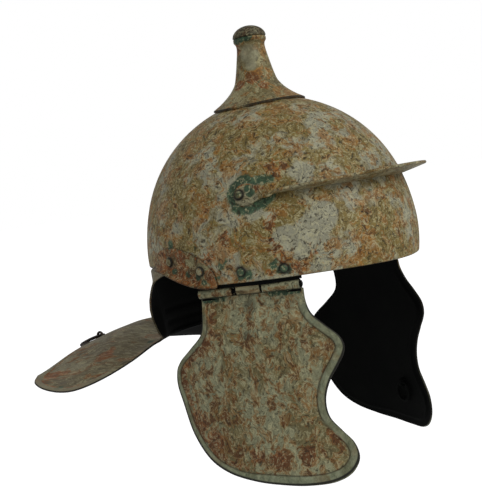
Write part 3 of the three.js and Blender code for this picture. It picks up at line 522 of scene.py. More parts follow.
def nape_step(face):
    """How far the sheet stands out under the bowl's edge."""
    angle = np.degrees(np.arctan2(-face[..., 1] * BOWL_HALF_LENGTH, face[..., 0] * BOWL_HALF_WIDTH))
    under = edge_height(angle) - face[..., 2]
    fade = 1 - smooth(-face[..., 2], NAPE_STEP_FADE, NAPE_DEPTH)
    return (BOWL_WALL + FIT_GAP - SEAT_GAP) * smooth(under, NAPE_STEP_DROP, NAPE_STEP_HEIGHT) * fade


def guard_face():
    """The sheet's bare face: each line's row, each place's share to the side, and the places."""
    lines = [np.linspace(first, last, count, endpoint=False) for first, last, count in LINE_COUNTS]
    row = np.concatenate([*lines, [LAST_ROW]])
    half = np.interp(row, np.arange(LAST_ROW + 1), SHEET_ROWS[:, END_Y])
    side = 1 - SIDE_INSETS[None] / half[:, None]
    inner = np.linspace(-1, 1, GUARD_COLUMNS)[1:-1][None] * side[:, -1:]
    u = np.hstack([-side, inner, side[:, ::-1]]).T
    return row, u, sheet_place(u, np.broadcast_to(row, u.shape))


def guard_outline(row, face):
    """The neck guard's edge, from the fold's right end round the rear to its left end."""
    on_guard = np.flatnonzero(row >= FOLD_ROW)
    return np.concatenate([face[0, on_guard], face[1:-1, -1], face[-1, on_guard[::-1]]])


def neck_guard():
    row, u, face = guard_face()
    outline = guard_outline(row, face)
    gap = nearest(face, outline)
    # the line that closes the outline across the fold is no edge
    closing = nearest(face, outline[[0, -1]]) < gap + SAME_GAP
    border = 1 - smooth(np.where(closing, np.inf, gap), GUARD_BORDER, GUARD_BORDER + GUARD_BORDER_SLOPE)
    raised = GUARD_RELIEF * border * smooth(row, FOLD_ROW - 0.2, FOLD_ROW + 0.8)
    flange = np.interp(row, np.arange(LAST_ROW + 1), SHEET_ROWS[:, FLANGE])
    flange = flange * NAPE_FLANGE * smooth(np.abs(u), NAPE_FLANGE_SHARE, 1)
    ribs = -NAPE_DEPTH + NAPE_RIB_SPACING * np.array([2, 1])
    near = np.min(np.abs(face[..., 2:3] - ribs), axis=-1)
    rib = NAPE_RIB_HEIGHT * np.cos(np.clip(near / (NAPE_RIB_WIDTH / 2), 0, 1) * math.pi / 2) ** 2
    rib = rib * smooth(1 - np.abs(u), *NAPE_RIB_END_SHARES)
    out = (raised + flange + (rib + nape_step(face)) * (row < FOLD_ROW))[..., None]
    normal = unit(np.cross(np.gradient(face, axis=0), np.gradient(face, axis=1)))
    return sheet(face + normal * out, face + normal * (out - SHEET_WALL))


# Brow guard

def brow_guard():
    degree = np.linalg.norm(on_bowl(BROW_LUG_ANGLE - 0.5, BROW_LUG_HEIGHT)
                            - on_bowl(BROW_LUG_ANGLE + 0.5, BROW_LUG_HEIGHT))
    span = BROW_LUG_ANGLE + BROW_LUG_RADIUS / degree
    on_plate, on_arm, on_end = BROW_COLUMNS
    turn = np.linspace(0, math.pi / 2, on_end + 1)[1:]
    half = np.concatenate([np.linspace(0, BROW_PLATE_ANGLE, on_plate, endpoint=False),
                           np.linspace(BROW_PLATE_ANGLE, BROW_LUG_ANGLE, on_arm),
                           BROW_LUG_ANGLE + (span - BROW_LUG_ANGLE) * np.sin(turn)])
    angle = column(np.concatenate([-half[:0:-1], half]))
    side = np.abs(angle)
    away = np.clip((side - BROW_LUG_ANGLE) / (span - BROW_LUG_ANGLE), 0, 1)
    run = BROW_LUG_ANGLE - BROW_PLATE_ANGLE
    narrow_end = BROW_PLATE_ANGLE + run * BROW_ARM_SHARE
    plate = BROW_NECK_WIDTH + (BROW_REACH - BROW_NECK_WIDTH) * np.cos(
        math.pi / 2 * np.minimum(side / BROW_PLATE_ANGLE, 1)) ** BROW_PLATE_POWER
    arm = BROW_NECK_WIDTH + (2 * BROW_LUG_RADIUS - BROW_NECK_WIDTH) * smooth(side, narrow_end, BROW_LUG_ANGLE)
    lug = 2 * BROW_LUG_RADIUS * np.sqrt(np.maximum(1 - away ** 2, 0.004))
    width = np.where(side > BROW_LUG_ANGLE, lug, np.where(side > BROW_PLATE_ANGLE, arm, plate))
    share = smooth(side, BROW_TWIST_ANGLE, BROW_PLATE_ANGLE + run * BROW_TWIST_SHARE)
    tilt = math.radians(BROW_TILT)
    twist = (math.pi / 2 + tilt) * share[..., None] - tilt
    height = BROW_HEIGHT + (BROW_LUG_HEIGHT - BROW_HEIGHT) * share
    out = bowl_normal(angle, height)
    level = unit(out * [1, 1, 0])
    along = np.cross([0, 0, 1], level)
    flat = unit(level + (out - level) * share[..., None])
    down = -np.cross(flat, along)
    wide = flat * np.cos(twist) + down * np.sin(twist)
    thick = flat * np.sin(twist) - down * np.cos(twist)
    # the plate is set out from its inner edge, and the lug from its middle
    inner = share[..., None] / 2
    clear = SEAT_GAP + width[..., None] * inner * np.cos(twist) + BROW_THICKNESS / 2 * np.abs(np.sin(twist))
    across = np.linspace(0, 1, BROW_ROWS)[None, :, None]
    middle = on_bowl(angle, height) + flat * clear + wide * width[..., None] * (across - inner)
    body = BROW_THICKNESS / 2 * np.ones_like(across)
    vertices, faces, inside = sheet(middle + thick * body, middle - thick * body)
    return vertices, faces, 0 * inside


# Ear guards

def ear_guard():
    u = column((1 - np.cos(np.linspace(0, math.pi, EAR_COLUMNS))) / 2)
    angle = EAR_GUARD_FRONT_ANGLE + (EAR_GUARD_BACK_ANGLE - EAR_GUARD_FRONT_ANGLE) * u
    arch = np.sqrt(np.maximum(1 - (2 * u - 1) ** 2, 0))
    line = EAR_GUARD_FRONT_RISE + (BACK_RIM_RISE - EAR_GUARD_FRONT_RISE) * u
    turn_all = math.radians(EAR_LIP_TURN)
    radius = EAR_LIP_RADIUS * np.sin(math.pi * np.clip(u, 0, 1)) ** EAR_LIP_POWER + EAR_LIP_END_RADIUS
    bend = edge_height(angle) + radius * math.sin(turn_all) - SEAT_GAP
    top = np.maximum(line + EAR_GUARD_ARCH * arch, bend + EAR_FLAT_HEIGHT)
    flat = np.concatenate([np.linspace(0, 1, EAR_FLAT_STEPS + 1), np.ones(EAR_LIP_STEPS)])[None]
    turn = np.concatenate([np.zeros(EAR_FLAT_STEPS), np.linspace(0, turn_all, EAR_LIP_STEPS + 1)])[None]
    height = top + (bend - top) * flat - radius * np.sin(turn)
    base = np.maximum(height, 0)

    def face(depth):
        out = SEAT_GAP + EAR_GUARD_WALL + radius * (1 - np.cos(turn)) - depth * np.cos(turn)
        place = on_bowl(angle, base, out)
        place[..., 2] += height - base - depth * np.sin(turn)
        return place
    return sheet(face(0), face(EAR_GUARD_WALL))


# Hinges. In the right hinge's own frame X runs along the pin, Y inwards and Z up.

HINGE_AXES = np.array([
    (math.cos(math.radians(HINGE_TURN)), math.sin(math.radians(HINGE_TURN)), 0),
    (-math.sin(math.radians(HINGE_TURN)), math.cos(math.radians(HINGE_TURN)), 0),
    (0, 0, 1)])
HINGE_PLACE = np.array([0, HINGE_INSET - BOWL_HALF_WIDTH, -HINGE_DROP])


def from_hinge(place):
    return np.asarray(place, float) @ HINGE_AXES + HINGE_PLACE


def in_hinge(place):
    return (place - HINGE_PLACE) @ HINGE_AXES.T


def rolled(start, length, wall, path, free_wave=0.0):
    """A knuckle rolled from sheet: path holds the section's middle line as pairs of Y and Z."""
    section = through(path, KNUCKLE_STEPS)
    ahead = unit(np.gradient(section, axis=0))
    normal = np.stack([ahead[:, 1], -ahead[:, 0]], axis=1) * wall / 2
    ends = np.array([0, 0.9, 2])
    along = column(np.concatenate([ends, np.linspace(4, length - 4, 14), length - ends[::-1]]))
    wave = free_wave * np.sin(along * WAVE_TURN + WAVE_START)
    wave = wave * np.linspace(0, 1, len(section))[None] ** 3

    def face(side):
        edge = section + side * normal
        return from_hinge(points(start + along, edge[:, 0] + wave, edge[:, 1]))
    return sheet(face(1), face(-1))


def arc(radius, start, end):
    turns = np.radians(np.linspace(start, end, 14))
    return [(radius * math.cos(t), radius * math.sin(t)) for t in turns]


def hinge_leaf():
    angle = column(np.linspace(LEAF_FRONT_ANGLE, LEAF_BACK_ANGLE, LEAF_COLUMNS))
    face, middle, back = (-BOWL_WALL - FIT_GAP - LEAF_WALL * share for share in (0, 0.5, 1))
    # its lower edge comes down to the knuckles, so that no light shows between them
    outside = -in_hinge(on_bowl(angle[:, 0], LEAF_BOTTOM, middle))[:, 1]
    low = KNUCKLE_RADIUS - HINGE_DROP - LEAF_WALL * (0.4 + 0.5 * smooth(outside, 2.5, 4.5))
    height = LEAF_TOP + (column(low) - LEAF_TOP) * np.linspace(0, 1, LEAF_ROWS)[None]
    vertices, faces, _ = sheet(on_bowl(angle, height, face), on_bowl(angle, height, back), bulge=0.2)
    # the whole plate takes the near-black inner finish as painted shade: it stands back behind the bowl's
    # edge, in shade
    plate = vertices, faces, np.ones(len(vertices))
    # the strap comes down from the leaf's inner face and goes round the pin
    search = np.linspace(LEAF_BACK_ANGLE, LEAF_FRONT_ANGLE, SEARCH_STEPS)
    found = in_hinge(on_bowl(search, LEAF_BOTTOM + STRAP_LAP, middle))
    inward = np.interp(MIDDLE_KNUCKLE_BACK + MIDDLE_KNUCKLE_LENGTH / 2, found[:, 0], found[:, 1])
    inward += LEAF_WALL / 2
    radius = KNUCKLE_RADIUS - LEAF_WALL / 2
    strap = [(inward, HINGE_DROP + LEAF_BOTTOM + STRAP_LAP), (inward, HINGE_DROP + LEAF_BOTTOM),
             (-radius * 0.92, HINGE_DROP / 2), *arc(radius, 180, 490)]
    vertices, faces, inside = rolled(MIDDLE_KNUCKLE_BACK, MIDDLE_KNUCKLE_LENGTH, LEAF_WALL, strap)
    # the strap above the knuckle is near-black too, as painted shade under the bowl's edge
    above = in_hinge(vertices)[:, 2] > KNUCKLE_RADIUS * 0.85
    return joined(plate, (vertices, faces, np.maximum(inside, above)))


def hinge_pin():
    back, front = -HINGE_BACK - SEAT_GAP, HINGE_FRONT + SEAT_GAP
    head = [(0, PIN_HEAD_LENGTH), (0.6, PIN_HEAD_LENGTH), (1, PIN_HEAD_LENGTH * 0.6), (1, 0.15), (0.96, 0)]
    ends = [(r * PIN_HEAD_RADIUS, z) for r, z in head]
    profile = ([(r, front + z) for r, z in ends] + [(PIN_RADIUS, front), (PIN_RADIUS, back)]
               + [(r, back - z) for r, z in ends[::-1]])
    vertices, faces, inside = turned(profile, 24)
    return from_hinge(vertices[:, [2, 0, 1]]), faces, inside


# Cheek pieces

CHEEK_OUTLINE_SHARES = [
    (0.247, 0.018), (0.241, 0.109), (0.221, 0.199), (0.137, 0.271), (0.048, 0.337), (0.010, 0.386),
    (0.000, 0.454), (0.023, 0.553), (0.069, 0.720), (0.156, 0.852), (0.264, 0.921), (0.426, 0.967),
    (0.573, 0.988), (0.717, 1.000), (0.859, 0.992), (0.939, 0.955), (0.983, 0.886), (0.973, 0.808),
    (0.924, 0.738), (0.874, 0.665), (0.867, 0.582), (0.897, 0.495), (0.952, 0.416), (0.991, 0.357),
    (1.000, 0.323), (0.985, 0.274), (0.920, 0.209), (0.859, 0.146), (0.836, 0.084), (0.832, 0.021)]
CHEEK_MIDDLE = (HINGE_FRONT - HINGE_BACK) / 2
CHEEK_CENTRE = np.array([CHEEK_REAR + CHEEK_WIDTH * 0.52, CHEEK_LENGTH * 0.5])


def on_cheek(along, down, depth):
    """The plate in the hinge's frame: along the pin, down, and depth under its outer face."""
    splay = math.radians(CHEEK_SPLAY)

    def at(x, d):
        cross = ((x - CHEEK_MIDDLE) / (CHEEK_REAR + CHEEK_WIDTH - CHEEK_MIDDLE)) ** 2
        low = CHEEK_DOWN_DROP + np.where(x > CHEEK_MIDDLE, CHEEK_TIP_DROP * cross, 0)
        bow = (CHEEK_CROSS_DROP * cross * np.minimum(d / (CHEEK_LENGTH * 0.4), 1)
               + low * (d / CHEEK_LENGTH) ** 2
               + (KNUCKLE_RADIUS - CHEEK_WALL) * (1 - smooth(d, 0, CHEEK_LENGTH * 0.2)))
        return points(x, -math.sin(splay) * d + math.cos(splay) * bow,
                      -math.cos(splay) * d - math.sin(splay) * bow)
    step = CHEEK_LENGTH / 500
    along, down = np.asarray(along, float), np.asarray(down, float)
    normal = unit(np.cross(at(along + step, down) - at(along - step, down),
                           at(along, down + step) - at(along, down - step)))
    return at(along, down) + normal * np.asarray(depth, float)[..., None]


def cheek_rim():
    marks = [(CHEEK_REAR + CHEEK_WIDTH * along, CHEEK_LENGTH * down) for along, down in CHEEK_OUTLINE_SHARES]
    rim = through(marks, CHEEK_RIM_COUNT - CHEEK_TOP_COUNT)
    share = column(np.linspace(0, 1, CHEEK_TOP_COUNT + 1)[1:-1])
    return np.vstack([rim, rim[-1] + (rim[0] - rim[-1]) * share])


def cheek_border(along, down):
    """How wide the border is, and how much the plate's relief is there: none near the knuckles."""
    wider = (CHEEK_WIDE_BORDER - CHEEK_NARROW_BORDER) * smooth(along, 0, CHEEK_MIDDLE)
    return CHEEK_NARROW_BORDER + wider, smooth(down, KNUCKLE_RADIUS * 2, CHEEK_LENGTH * 0.15)


def cheek_piece():
    rim = cheek_rim()
    reach = np.linalg.norm(rim - CHEEK_CENTRE, axis=1)[:, None]
    # finer over the border and the groove than inside them
    fine = np.array([15, 13, 11.6, *np.arange(0, 11, 0.7)[::-1]])
    coarse = 1 - np.linspace(0, 1, 18)[None, :-1] ** 0.8
    inset = np.hstack([fine[0] + (reach - fine[0]) * coarse, np.tile(fine[1:], (len(rim), 1))])
    inset[:, 0] = reach[:, 0]
    place = rim[:, None] + (CHEEK_CENTRE - rim[:, None]) * (inset / reach)[..., None]
    x, d = place[..., 0], place[..., 1]
    gap = nearest(place, rim)
    border, level = cheek_border(x, d)
    raised = CHEEK_RELIEF * (1 - smooth(gap, border, border + CHEEK_BORDER_SLOPE)) * level
    groove = GROOVE_DEPTH * np.exp(-((gap - border - GROOVE_GAP) / GROOVE_WIDTH) ** 2) * level
    outer = on_cheek(x, d, -raised + groove)
    inner = on_cheek(x, d, CHEEK_WALL - raised + groove)
    plate = sheet(from_hinge(outer), from_hinge(inner), True)
    middle = KNUCKLE_RADIUS - CHEEK_WALL / 2
    roll = [(middle - 0.6, -6), (middle - 0.1, -2.5), *arc(middle, 0, KNUCKLE_TURN)]
    knuckles = [rolled(start, length, CHEEK_WALL, roll, FREE_EDGE_WAVE) for start, length in (
        (-HINGE_BACK, REAR_KNUCKLE_LENGTH), (HINGE_FRONT - FRONT_KNUCKLE_LENGTH, FRONT_KNUCKLE_LENGTH))]
    return joined(plate, *knuckles)


# Crest knob

def seated(mesh, top):
    """Bends the low part of a turned mesh down on to the bowl."""
    vertices, faces, inside = mesh
    vertices = vertices.copy()
    crown = BOWL_HEIGHT + SEAT_GAP
    radius = np.hypot(vertices[:, 0], vertices[:, 1])
    share = smooth(radius, KNOB_TANG_RADIUS, KNOB_FOOT_RADIUS) * smooth(-vertices[:, 2], -top, -crown)
    vertices[:, 2] -= crown_drop(vertices[:, 0], vertices[:, 1]) * share
    return vertices, faces, inside


def knob_stem():
    crown = BOWL_HEIGHT + SEAT_GAP
    foot = crown + KNOB_FOOT_HEIGHT
    flare_shares = [(1, 0), (0.845, 0.10), (0.7, 0.27), (0.58, 0.50), (0.49, 0.80)]
    rise = KNOB_FOOT_HEIGHT - KNOB_FLANGE_THICKNESS
    flare = [(KNOB_FLANGE_RADIUS * r, crown + KNOB_FLANGE_THICKNESS + rise * h) for r, h in flare_shares]
    collar = KNOB_NECK_HEIGHT + (KNOB_COLLAR_HEIGHT - KNOB_NECK_HEIGHT) * 0.55
    side = [(KNOB_COLLAR_RADIUS, crown + collar), (KNOB_NECK_RADIUS, crown + KNOB_NECK_HEIGHT),
            (KNOB_NECK_RADIUS + KNOB_WAIST_SWELL, crown + KNOB_NECK_HEIGHT * KNOB_WAIST_RISE_SHARE),
            (KNOB_FOOT_RADIUS, foot), *flare[::-1]]
    side = through(side, 70)
    top = crown + KNOB_COLLAR_HEIGHT
    top = [(0, top), (KNOB_COLLAR_RADIUS - KNOB_ROUNDING, top), (KNOB_COLLAR_RADIUS, top - KNOB_ROUNDING)]
    edge = KNOB_FLANGE_RADIUS
    under = [(edge - 0.15, crown + 0.35), (edge - 0.7, crown), (edge * 0.8, crown), (0, crown)]
    return seated(turned([*top, *side, *under], 96), foot)


def knob_cap():
    base = BOWL_HEIGHT + 2 * SEAT_GAP + KNOB_COLLAR_HEIGHT
    turns = np.linspace(0, math.pi / 2, 18)
    dome = [(KNOB_CAP_RADIUS * math.sin(t), base + KNOB_CAP_HEIGHT * math.cos(t)) for t in turns[:-1]]
    return turned([*dome, (KNOB_CAP_RADIUS, base + 0.7), (KNOB_CAP_RADIUS - 0.5, base), (0, base)], 72)


def knob_washer():
    top = BOWL_HEIGHT - BOWL_WALL - SEAT_GAP
    bottom = top - KNOB_WASHER_THICKNESS
    tang = bottom - SEAT_GAP
    vertices, faces, inside = turned([
        (KNOB_TANG_RADIUS, top), (KNOB_WASHER_RADIUS - 0.4, top), (KNOB_WASHER_RADIUS, top - 0.4),
        (KNOB_WASHER_RADIUS, bottom + 0.4), (KNOB_WASHER_RADIUS - 0.4, bottom), (KNOB_TANG_RADIUS, bottom),
        (KNOB_TANG_RADIUS, tang), (0, tang)], 48)
    vertices[:, 2] -= crown_drop(vertices[:, 0], vertices[:, 1])
    return vertices, faces, inside


# Rivets

def rivet(angle, height, out, under):
    top, bottom = out + SEAT_GAP, -under - FIT_GAP
    turns = np.linspace(0, math.pi / 2, 9)
    dome = [(RIVET_HEAD_RADIUS * math.sin(t), top + RIVET_HEAD_HEIGHT * math.cos(t)) for t in turns]
    tail = [(RIVET_TAIL_RADIUS, bottom), (RIVET_TAIL_RADIUS * 0.9, bottom - RIVET_TAIL_HEIGHT * 0.6),
            (RIVET_TAIL_RADIUS * 0.6, bottom - RIVET_TAIL_HEIGHT), (0, bottom - RIVET_TAIL_HEIGHT)]
    shank = [(RIVET_SHANK_RADIUS, top - 0.2), (RIVET_SHANK_RADIUS, bottom)]
    mesh = turned([*dome, (RIVET_HEAD_RADIUS * 0.9, top - 0.2), *shank, *tail], 28)
    normal = bowl_normal(angle, height)
    aside = unit(np.cross([0, 0, 1], normal))
    return placed(mesh, on_bowl(angle, height), [aside, np.cross(normal, aside), normal])


# Rings and loops

def ring(radius, thickness):
    turn = np.linspace(0, 2 * math.pi, 64, endpoint=False)
    return wire(points(radius * np.cos(turn), radius * np.sin(turn), 0 * turn), thickness, (0, 0, 1), True)


def loop(radius, thickness, leg, foot):
    """A half loop in the plane of X and Z, with straight legs and bent feet."""
    feet = [(radius + foot, -leg), (radius + thickness, -leg), (radius, thickness - leg),
            (radius, (thickness - leg) / 2)] if foot else [(radius, -leg), (radius, -leg / 2)]
    turns = np.linspace(math.pi, 0, 9)
    crown = [(radius * math.cos(t), radius * math.sin(t)) for t in turns]
    path = [(-x, z) for x, z in feet] + crown + feet[::-1]
    return wire(through([(x, 0, z) for x, z in path], 70), thickness, (0, 1, 0))


TIE_LOOP_STAND = 2 * SEAT_GAP + TIE_RING_WIRE + TURN_GAP
NECK_LOOP_STAND = GUARD_RELIEF + SEAT_GAP + NECK_RING_WIRE


def on_cheek_inside(mesh):
    foot = on_cheek(TIE_LOOP_ALONG, TIE_LOOP_DOWN, CHEEK_WALL)
    inward = unit(on_cheek(TIE_LOOP_ALONG, TIE_LOOP_DOWN, 2 * CHEEK_WALL) - foot)
    down = unit(np.array([0, 0, -1]) + inward * inward[2])
    vertices, faces, inside = placed(mesh, foot, [down, np.cross(inward, down), inward])
    return from_hinge(vertices), faces, inside


def on_guard_rear(mesh):
    row = np.linspace(LAST_ROW - 4, LAST_ROW, SEARCH_STEPS)
    line = sheet_place(np.zeros(SEARCH_STEPS), row)
    k = int(np.argmin(np.abs(line[:, 0] - line[-1, 0] - NECK_LOOP_INSET)))
    ahead = unit(line[k - 3] - line[k + 3])
    return placed(mesh, line[k], [ahead, [0, 1, 0], np.cross(ahead, [0, 1, 0])])


def shifted(mesh, x, z):
    return mesh[0] + [x, 0, z], mesh[1], mesh[2]


# Materials

# what the vertices are marked with by place, apart from how far inside they are; pale and dark also carry
# painted highlight and painted shade
MARK_KEYS = ("verdigris", "rust", "pale", "dark", "border")
RUST = "#8a4b18"
VERDIGRIS = ("#14301f", "#375640")
FLAKE = "#a9a37e"
CRACK = "#2e2414"
FLECK = "#a09b78"
PIT = "#241d10"
DIRT_AND_SHADE = "#0f0e0a"
INNER_FACE_DARK = "#1a150c"
BUMP = 0.6
CURLS = ((13, 2.0, 0.016), (4.5, 1.0, 0.006))   # size in millimetres, detail, and reach in metres
WHITE = (1.0, 1.0, 1.0, 1.0)
GROUND = (0.8, 0.8, 0.8, 1.0)


def linear(colour):
    """A colour written as sRGB hex, as the linear values a shader takes."""
    parts = [int(colour[k:k + 2], 16) / 255 for k in (1, 3, 5)]
    return (*[c / 12.92 if c <= 0.04045 else ((c + 0.055) / 1.055) ** 2.4 for c in parts], 1.0)


def per_metre(size):
    """A pattern's scale, from the size of its marks in millimetres."""
    return 1 / (size * METRE)


def adder(tree):
    """Empties a tree, and gives the function that adds a node to it and gives one of its outputs."""
    tree.nodes.clear()

    def add(kind, inputs=None, out=0, **settings):
        one = tree.nodes.new("ShaderNode" + kind)
        for key, value in settings.items():
            setattr(one, key, value)
        for key, value in (inputs or {}).items():
            if isinstance(value, bpy.types.NodeSocket):
                tree.links.new(value, one.inputs[key])
            else:
                one.inputs[key].default_value = value
        return one.outputs[out] if len(one.outputs) else one
    return add


def material(name):
    """An empty material, and the function that adds to it."""
    made = bpy.data.materials.new(name)
    made.use_nodes = True
    return made, adder(made.node_tree)


def mixed(add, share, colours):
    """Goes from the first colour to the second."""
    return add("MixRGB", {0: share, 1: linear(colours[0]), 2: linear(colours[1])})


def finished(add, colour, height, strength, depth, inputs):
    """Gives the material its colour, and bumps that follow a height, so many millimetres deep."""
    bump = add("Bump", {"Strength": strength, "Distance": depth * METRE, "Height": height})
    shader = add("BsdfPrincipled", {"Base Color": colour, "Normal": bump, **inputs})
    add("OutputMaterial", {"Surface": shader})


def patina(name, straw="#6f5f31", pale="#8b8974", ochre="#855c26", brown="#4d3119", blotch_size=9,
           pale_share=0.42, ochre_share=0.38, brown_share=0.2, stretch=(1, 1, 1), contrast=1.0,
           border=("#4f5843", "#78806a")):
    """Bronze sheet under a matt, flaking patina, which gives the eye straw and pale grey-green clouds,
    ochre and brown blotches with crisp edges, curled pale flakes, dark pits and green in the corners."""
    made, add = material(name)

    def washed(colour, amount, start, end, most, shade):
        """Lays a shade over the colour where the amount goes from start to end."""
        part = add("MapRange", {0: amount, 1: start, 2: end, 4: most}, interpolation_type="SMOOTHSTEP")
        return add("MixRGB", {0: part, 1: colour, 2: linear(shade) if isinstance(shade, str) else shade})

    def start(share):
        """The level of a noise above which about this share of the surface lies."""
        return 0.63 - 0.26 * share

    def plus(level, key, weight):
        """Shifts a level where the surface is marked."""
        return add("Math", {0: marks[key], 1: weight, 2: level}, operation="MULTIPLY_ADD")

    place = add("TexCoord", out="Object")
    place = add("VectorMath", {0: place, 1: stretch}, operation="MULTIPLY")
    # bends the pattern's lines so that they curl, first in wide curls and then in tight ones too
    bent = [place]
    for size, detail, reach in CURLS:
        curl = add("TexNoise", {"Vector": place, "Scale": per_metre(size), "Detail": detail}, out="Color")
        bent.append(add("VectorMath", {0: curl, 1: (reach,) * 3, 2: bent[-1]}, operation="MULTIPLY_ADD"))
    _, wide, tight = bent
    marks = {key: add("Attribute", attribute_name=key, out="Fac") for key in (*MARK_KEYS, "inside")}
    noises = [(wide, 32, 5.0, 0.6), (wide, 17, 6.0, 0.65), (wide, blotch_size, 5.0, 0.62),
              (tight, 6, 3.0, 0.6), (tight, 2.7, 3.0, 0.62), (tight, 0.9, 2.0, 0.6)]
    cloud, haze, blotch, flake, fleck, grain = (
        add("TexNoise", {"Vector": lines, "Scale": per_metre(size), "Detail": detail, "Roughness": rough})
        for lines, size, detail, rough in noises)

    # straw to pale in clouds, with an ochre haze
    level = plus(cloud, "pale", 0.22)
    colour = washed(linear(straw), level, start(pale_share) - 0.05, start(pale_share) + 0.05, 1.0, pale)
    level = plus(haze, "pale", -0.2)
    colour = washed(colour, level, start(ochre_share) - 0.03, start(ochre_share) + 0.07, 0.8, ochre)
    # brown blotches with crisp edges; rust marks bring them on
    level = plus(plus(plus(blotch, "rust", 0.2), "pale", -0.12), "border", -0.2)
    edge_level = start(brown_share)
    rusty = mixed(add, marks["rust"], (ochre, RUST))
    colour = washed(colour, level, edge_level - 0.03, edge_level + 0.01, 0.8, rusty)
    colour = washed(colour, level, edge_level + 0.03, edge_level + 0.07, 0.8 * contrast, brown)
    # flakes: thin curled pale lines and dark cracks along the same edges
    for level, outer, inner, most, shade in (
            (0.53, 0.028, 0.006, 0.45, FLAKE), (0.485, 0.022, 0.004, 0.52, CRACK)):
        line = add("Math", {0: flake, 1: level}, operation="SUBTRACT")
        line = plus(add("Math", {0: line}, operation="ABSOLUTE"), "border", 0.02)
        colour = washed(colour, line, outer, inner, most * contrast, shade)
    # verdigris, thick at its middle and thin at its ragged edge
    level = add("Math", {0: fleck, 1: 1.1, 2: blotch}, operation="MULTIPLY_ADD")
    level = plus(level, "verdigris", 0.9)
    green = add("MapRange", {0: haze, 1: 0.4, 2: 0.62})
    colour = washed(colour, level, 1.28, 1.62, 0.92, mixed(add, green, VERDIGRIS))
    colour = washed(colour, fleck, 0.55, 0.64, 0.6 * contrast, FLECK)
    colour = washed(colour, fleck, 0.45, 0.35, 0.8 * contrast, PIT)
    # the smooth border
    film = add("MapRange", {0: blotch, 1: 0.38, 2: 0.6})
    colour = washed(colour, marks["border"], 0.2, 0.8, 0.62, mixed(add, film, border))
    # darker and lighter from grain to grain and flake to flake
    for noise, reach, darker, lighter in ((grain, 0.25, 0.22, 0.22), (flake, 0.18, 0.2, 0.16)):
        tone = {0: noise, 1: 0.5 - reach, 2: 0.5 + reach,
                3: 1 - darker * contrast, 4: 1 + lighter * contrast}
        colour = add("MixRGB", {0: 1.0, 1: colour, 2: add("MapRange", tone)}, blend_type="MULTIPLY")
    # dark flecks of dirt, and darker where the surface is marked dark: painted shade round the rivets, on the
    # knuckles, on the free edges and in the seam round the knob, and the other dark marks
    level = add("Math", {0: fleck, 1: 0.4, 2: marks["dark"]}, operation="MULTIPLY_ADD")
    colour = washed(colour, level, 0.3, 1.0, 0.95, DIRT_AND_SHADE)
    # darker on the rounded edges and inner faces, towards the inner faces' near-black
    colour = washed(colour, marks["inside"], 0.08, 0.25, 0.55, INNER_FACE_DARK)

    # the blotches are shallow scabs and the pits are sunk
    height = haze
    for noise, much in ((blotch, 0.5), (fleck, 0.35), (grain, 0.08)):
        height = add("Math", {0: noise, 1: much, 2: height}, operation="MULTIPLY_ADD")
    rough = add("MapRange", {0: blotch, 1: 0.3, 2: 0.7, 3: 0.5, 4: 0.72})
    finished(add, colour, height, BUMP, 0.9,
             {"Roughness": rough, "Metallic": 0.1, "Specular IOR Level": 0.25})
    return made


def near_black():
    """Near-black bronze for the inner faces, which takes the light away; on the hinge leaves it stands for
    painted shade.
    """
    made, add = material("blackened bronze")
    place = add("TexCoord", out="Object")
    cloud = add("TexNoise", {"Vector": place, "Scale": per_metre(20), "Detail": 4.0})
    colour = mixed(add, cloud, ("#040505", "#0e0f0d"))
    finished(add, colour, cloud, BUMP / 2, 0.3, {"Roughness": 0.85, "Specular IOR Level": 0.06})
    return made


def old_iron():
    """Forged iron wire gone dark, which gives the eye a thin brown bloom of rust in spots."""
    made, add = material("old forged iron")
    place = add("TexCoord", out="Object")
    bloom = add("TexNoise", {"Vector": place, "Scale": per_metre(3), "Detail": 4.0})
    share = add("MapRange", {0: bloom, 1: 0.45, 2: 0.62}, interpolation_type="SMOOTHSTEP")
    colour = mixed(add, share, ("#15120f", "#3a2a1c"))
    finished(add, colour, bloom, BUMP, 0.4, {"Roughness": 0.6, "Metallic": 0.3})
    return made


# Where the rivets sit: a name, the place on the bowl, how far out the head is and how far in the tail

THROUGH_LEAF = BOWL_WALL + FIT_GAP + LEAF_WALL
THROUGH_SHEET = BOWL_WALL + FIT_GAP + SHEET_WALL
PAIRED_RIVETS = [
    ("brow_rivet", BROW_LUG_ANGLE + BROW_RIVET_SHIFT, BROW_LUG_HEIGHT, SEAT_GAP + BROW_THICKNESS, BOWL_WALL),
    ("ear_rivet_rear", *EAR_RIVET_BACK, SEAT_GAP + EAR_GUARD_WALL, THROUGH_SHEET),
    ("ear_rivet_front", *EAR_RIVET_FRONT, SEAT_GAP + EAR_GUARD_WALL, THROUGH_LEAF),
    ("leaf_rivet_middle", *LEAF_RIVET_MIDDLE, 0, THROUGH_LEAF),
    ("leaf_rivet_front", *LEAF_RIVET_FRONT, 0, THROUGH_LEAF),
]
RIVET_GREEN_SHARES = {"brow_rivet": 0.5, "ear_rivet_rear": 0, "ear_rivet_front": 0,
                      "leaf_rivet_middle": 0.7, "leaf_rivet_front": 0.8}


# Marks of age, and painted shade and highlights: each is a place, how far it reaches and how strong it is

NO_MARKS = {key: [] for key in MARK_KEYS}


def spot(angle, height, reach, strength=1.0, out=0):
    return on_bowl(angle, height, out), reach, strength


def lug_spot(shift, up, reach):
    """A mark on the outer face of the brow guard's lug."""
    return spot(BROW_LUG_ANGLE + shift, BROW_LUG_HEIGHT + up, reach, 1, SEAT_GAP + BROW_THICKNESS)


def cheek_spot(along, down, reach, strength=1.0):
    return from_hinge(on_cheek(along, down, 0)), reach, strength


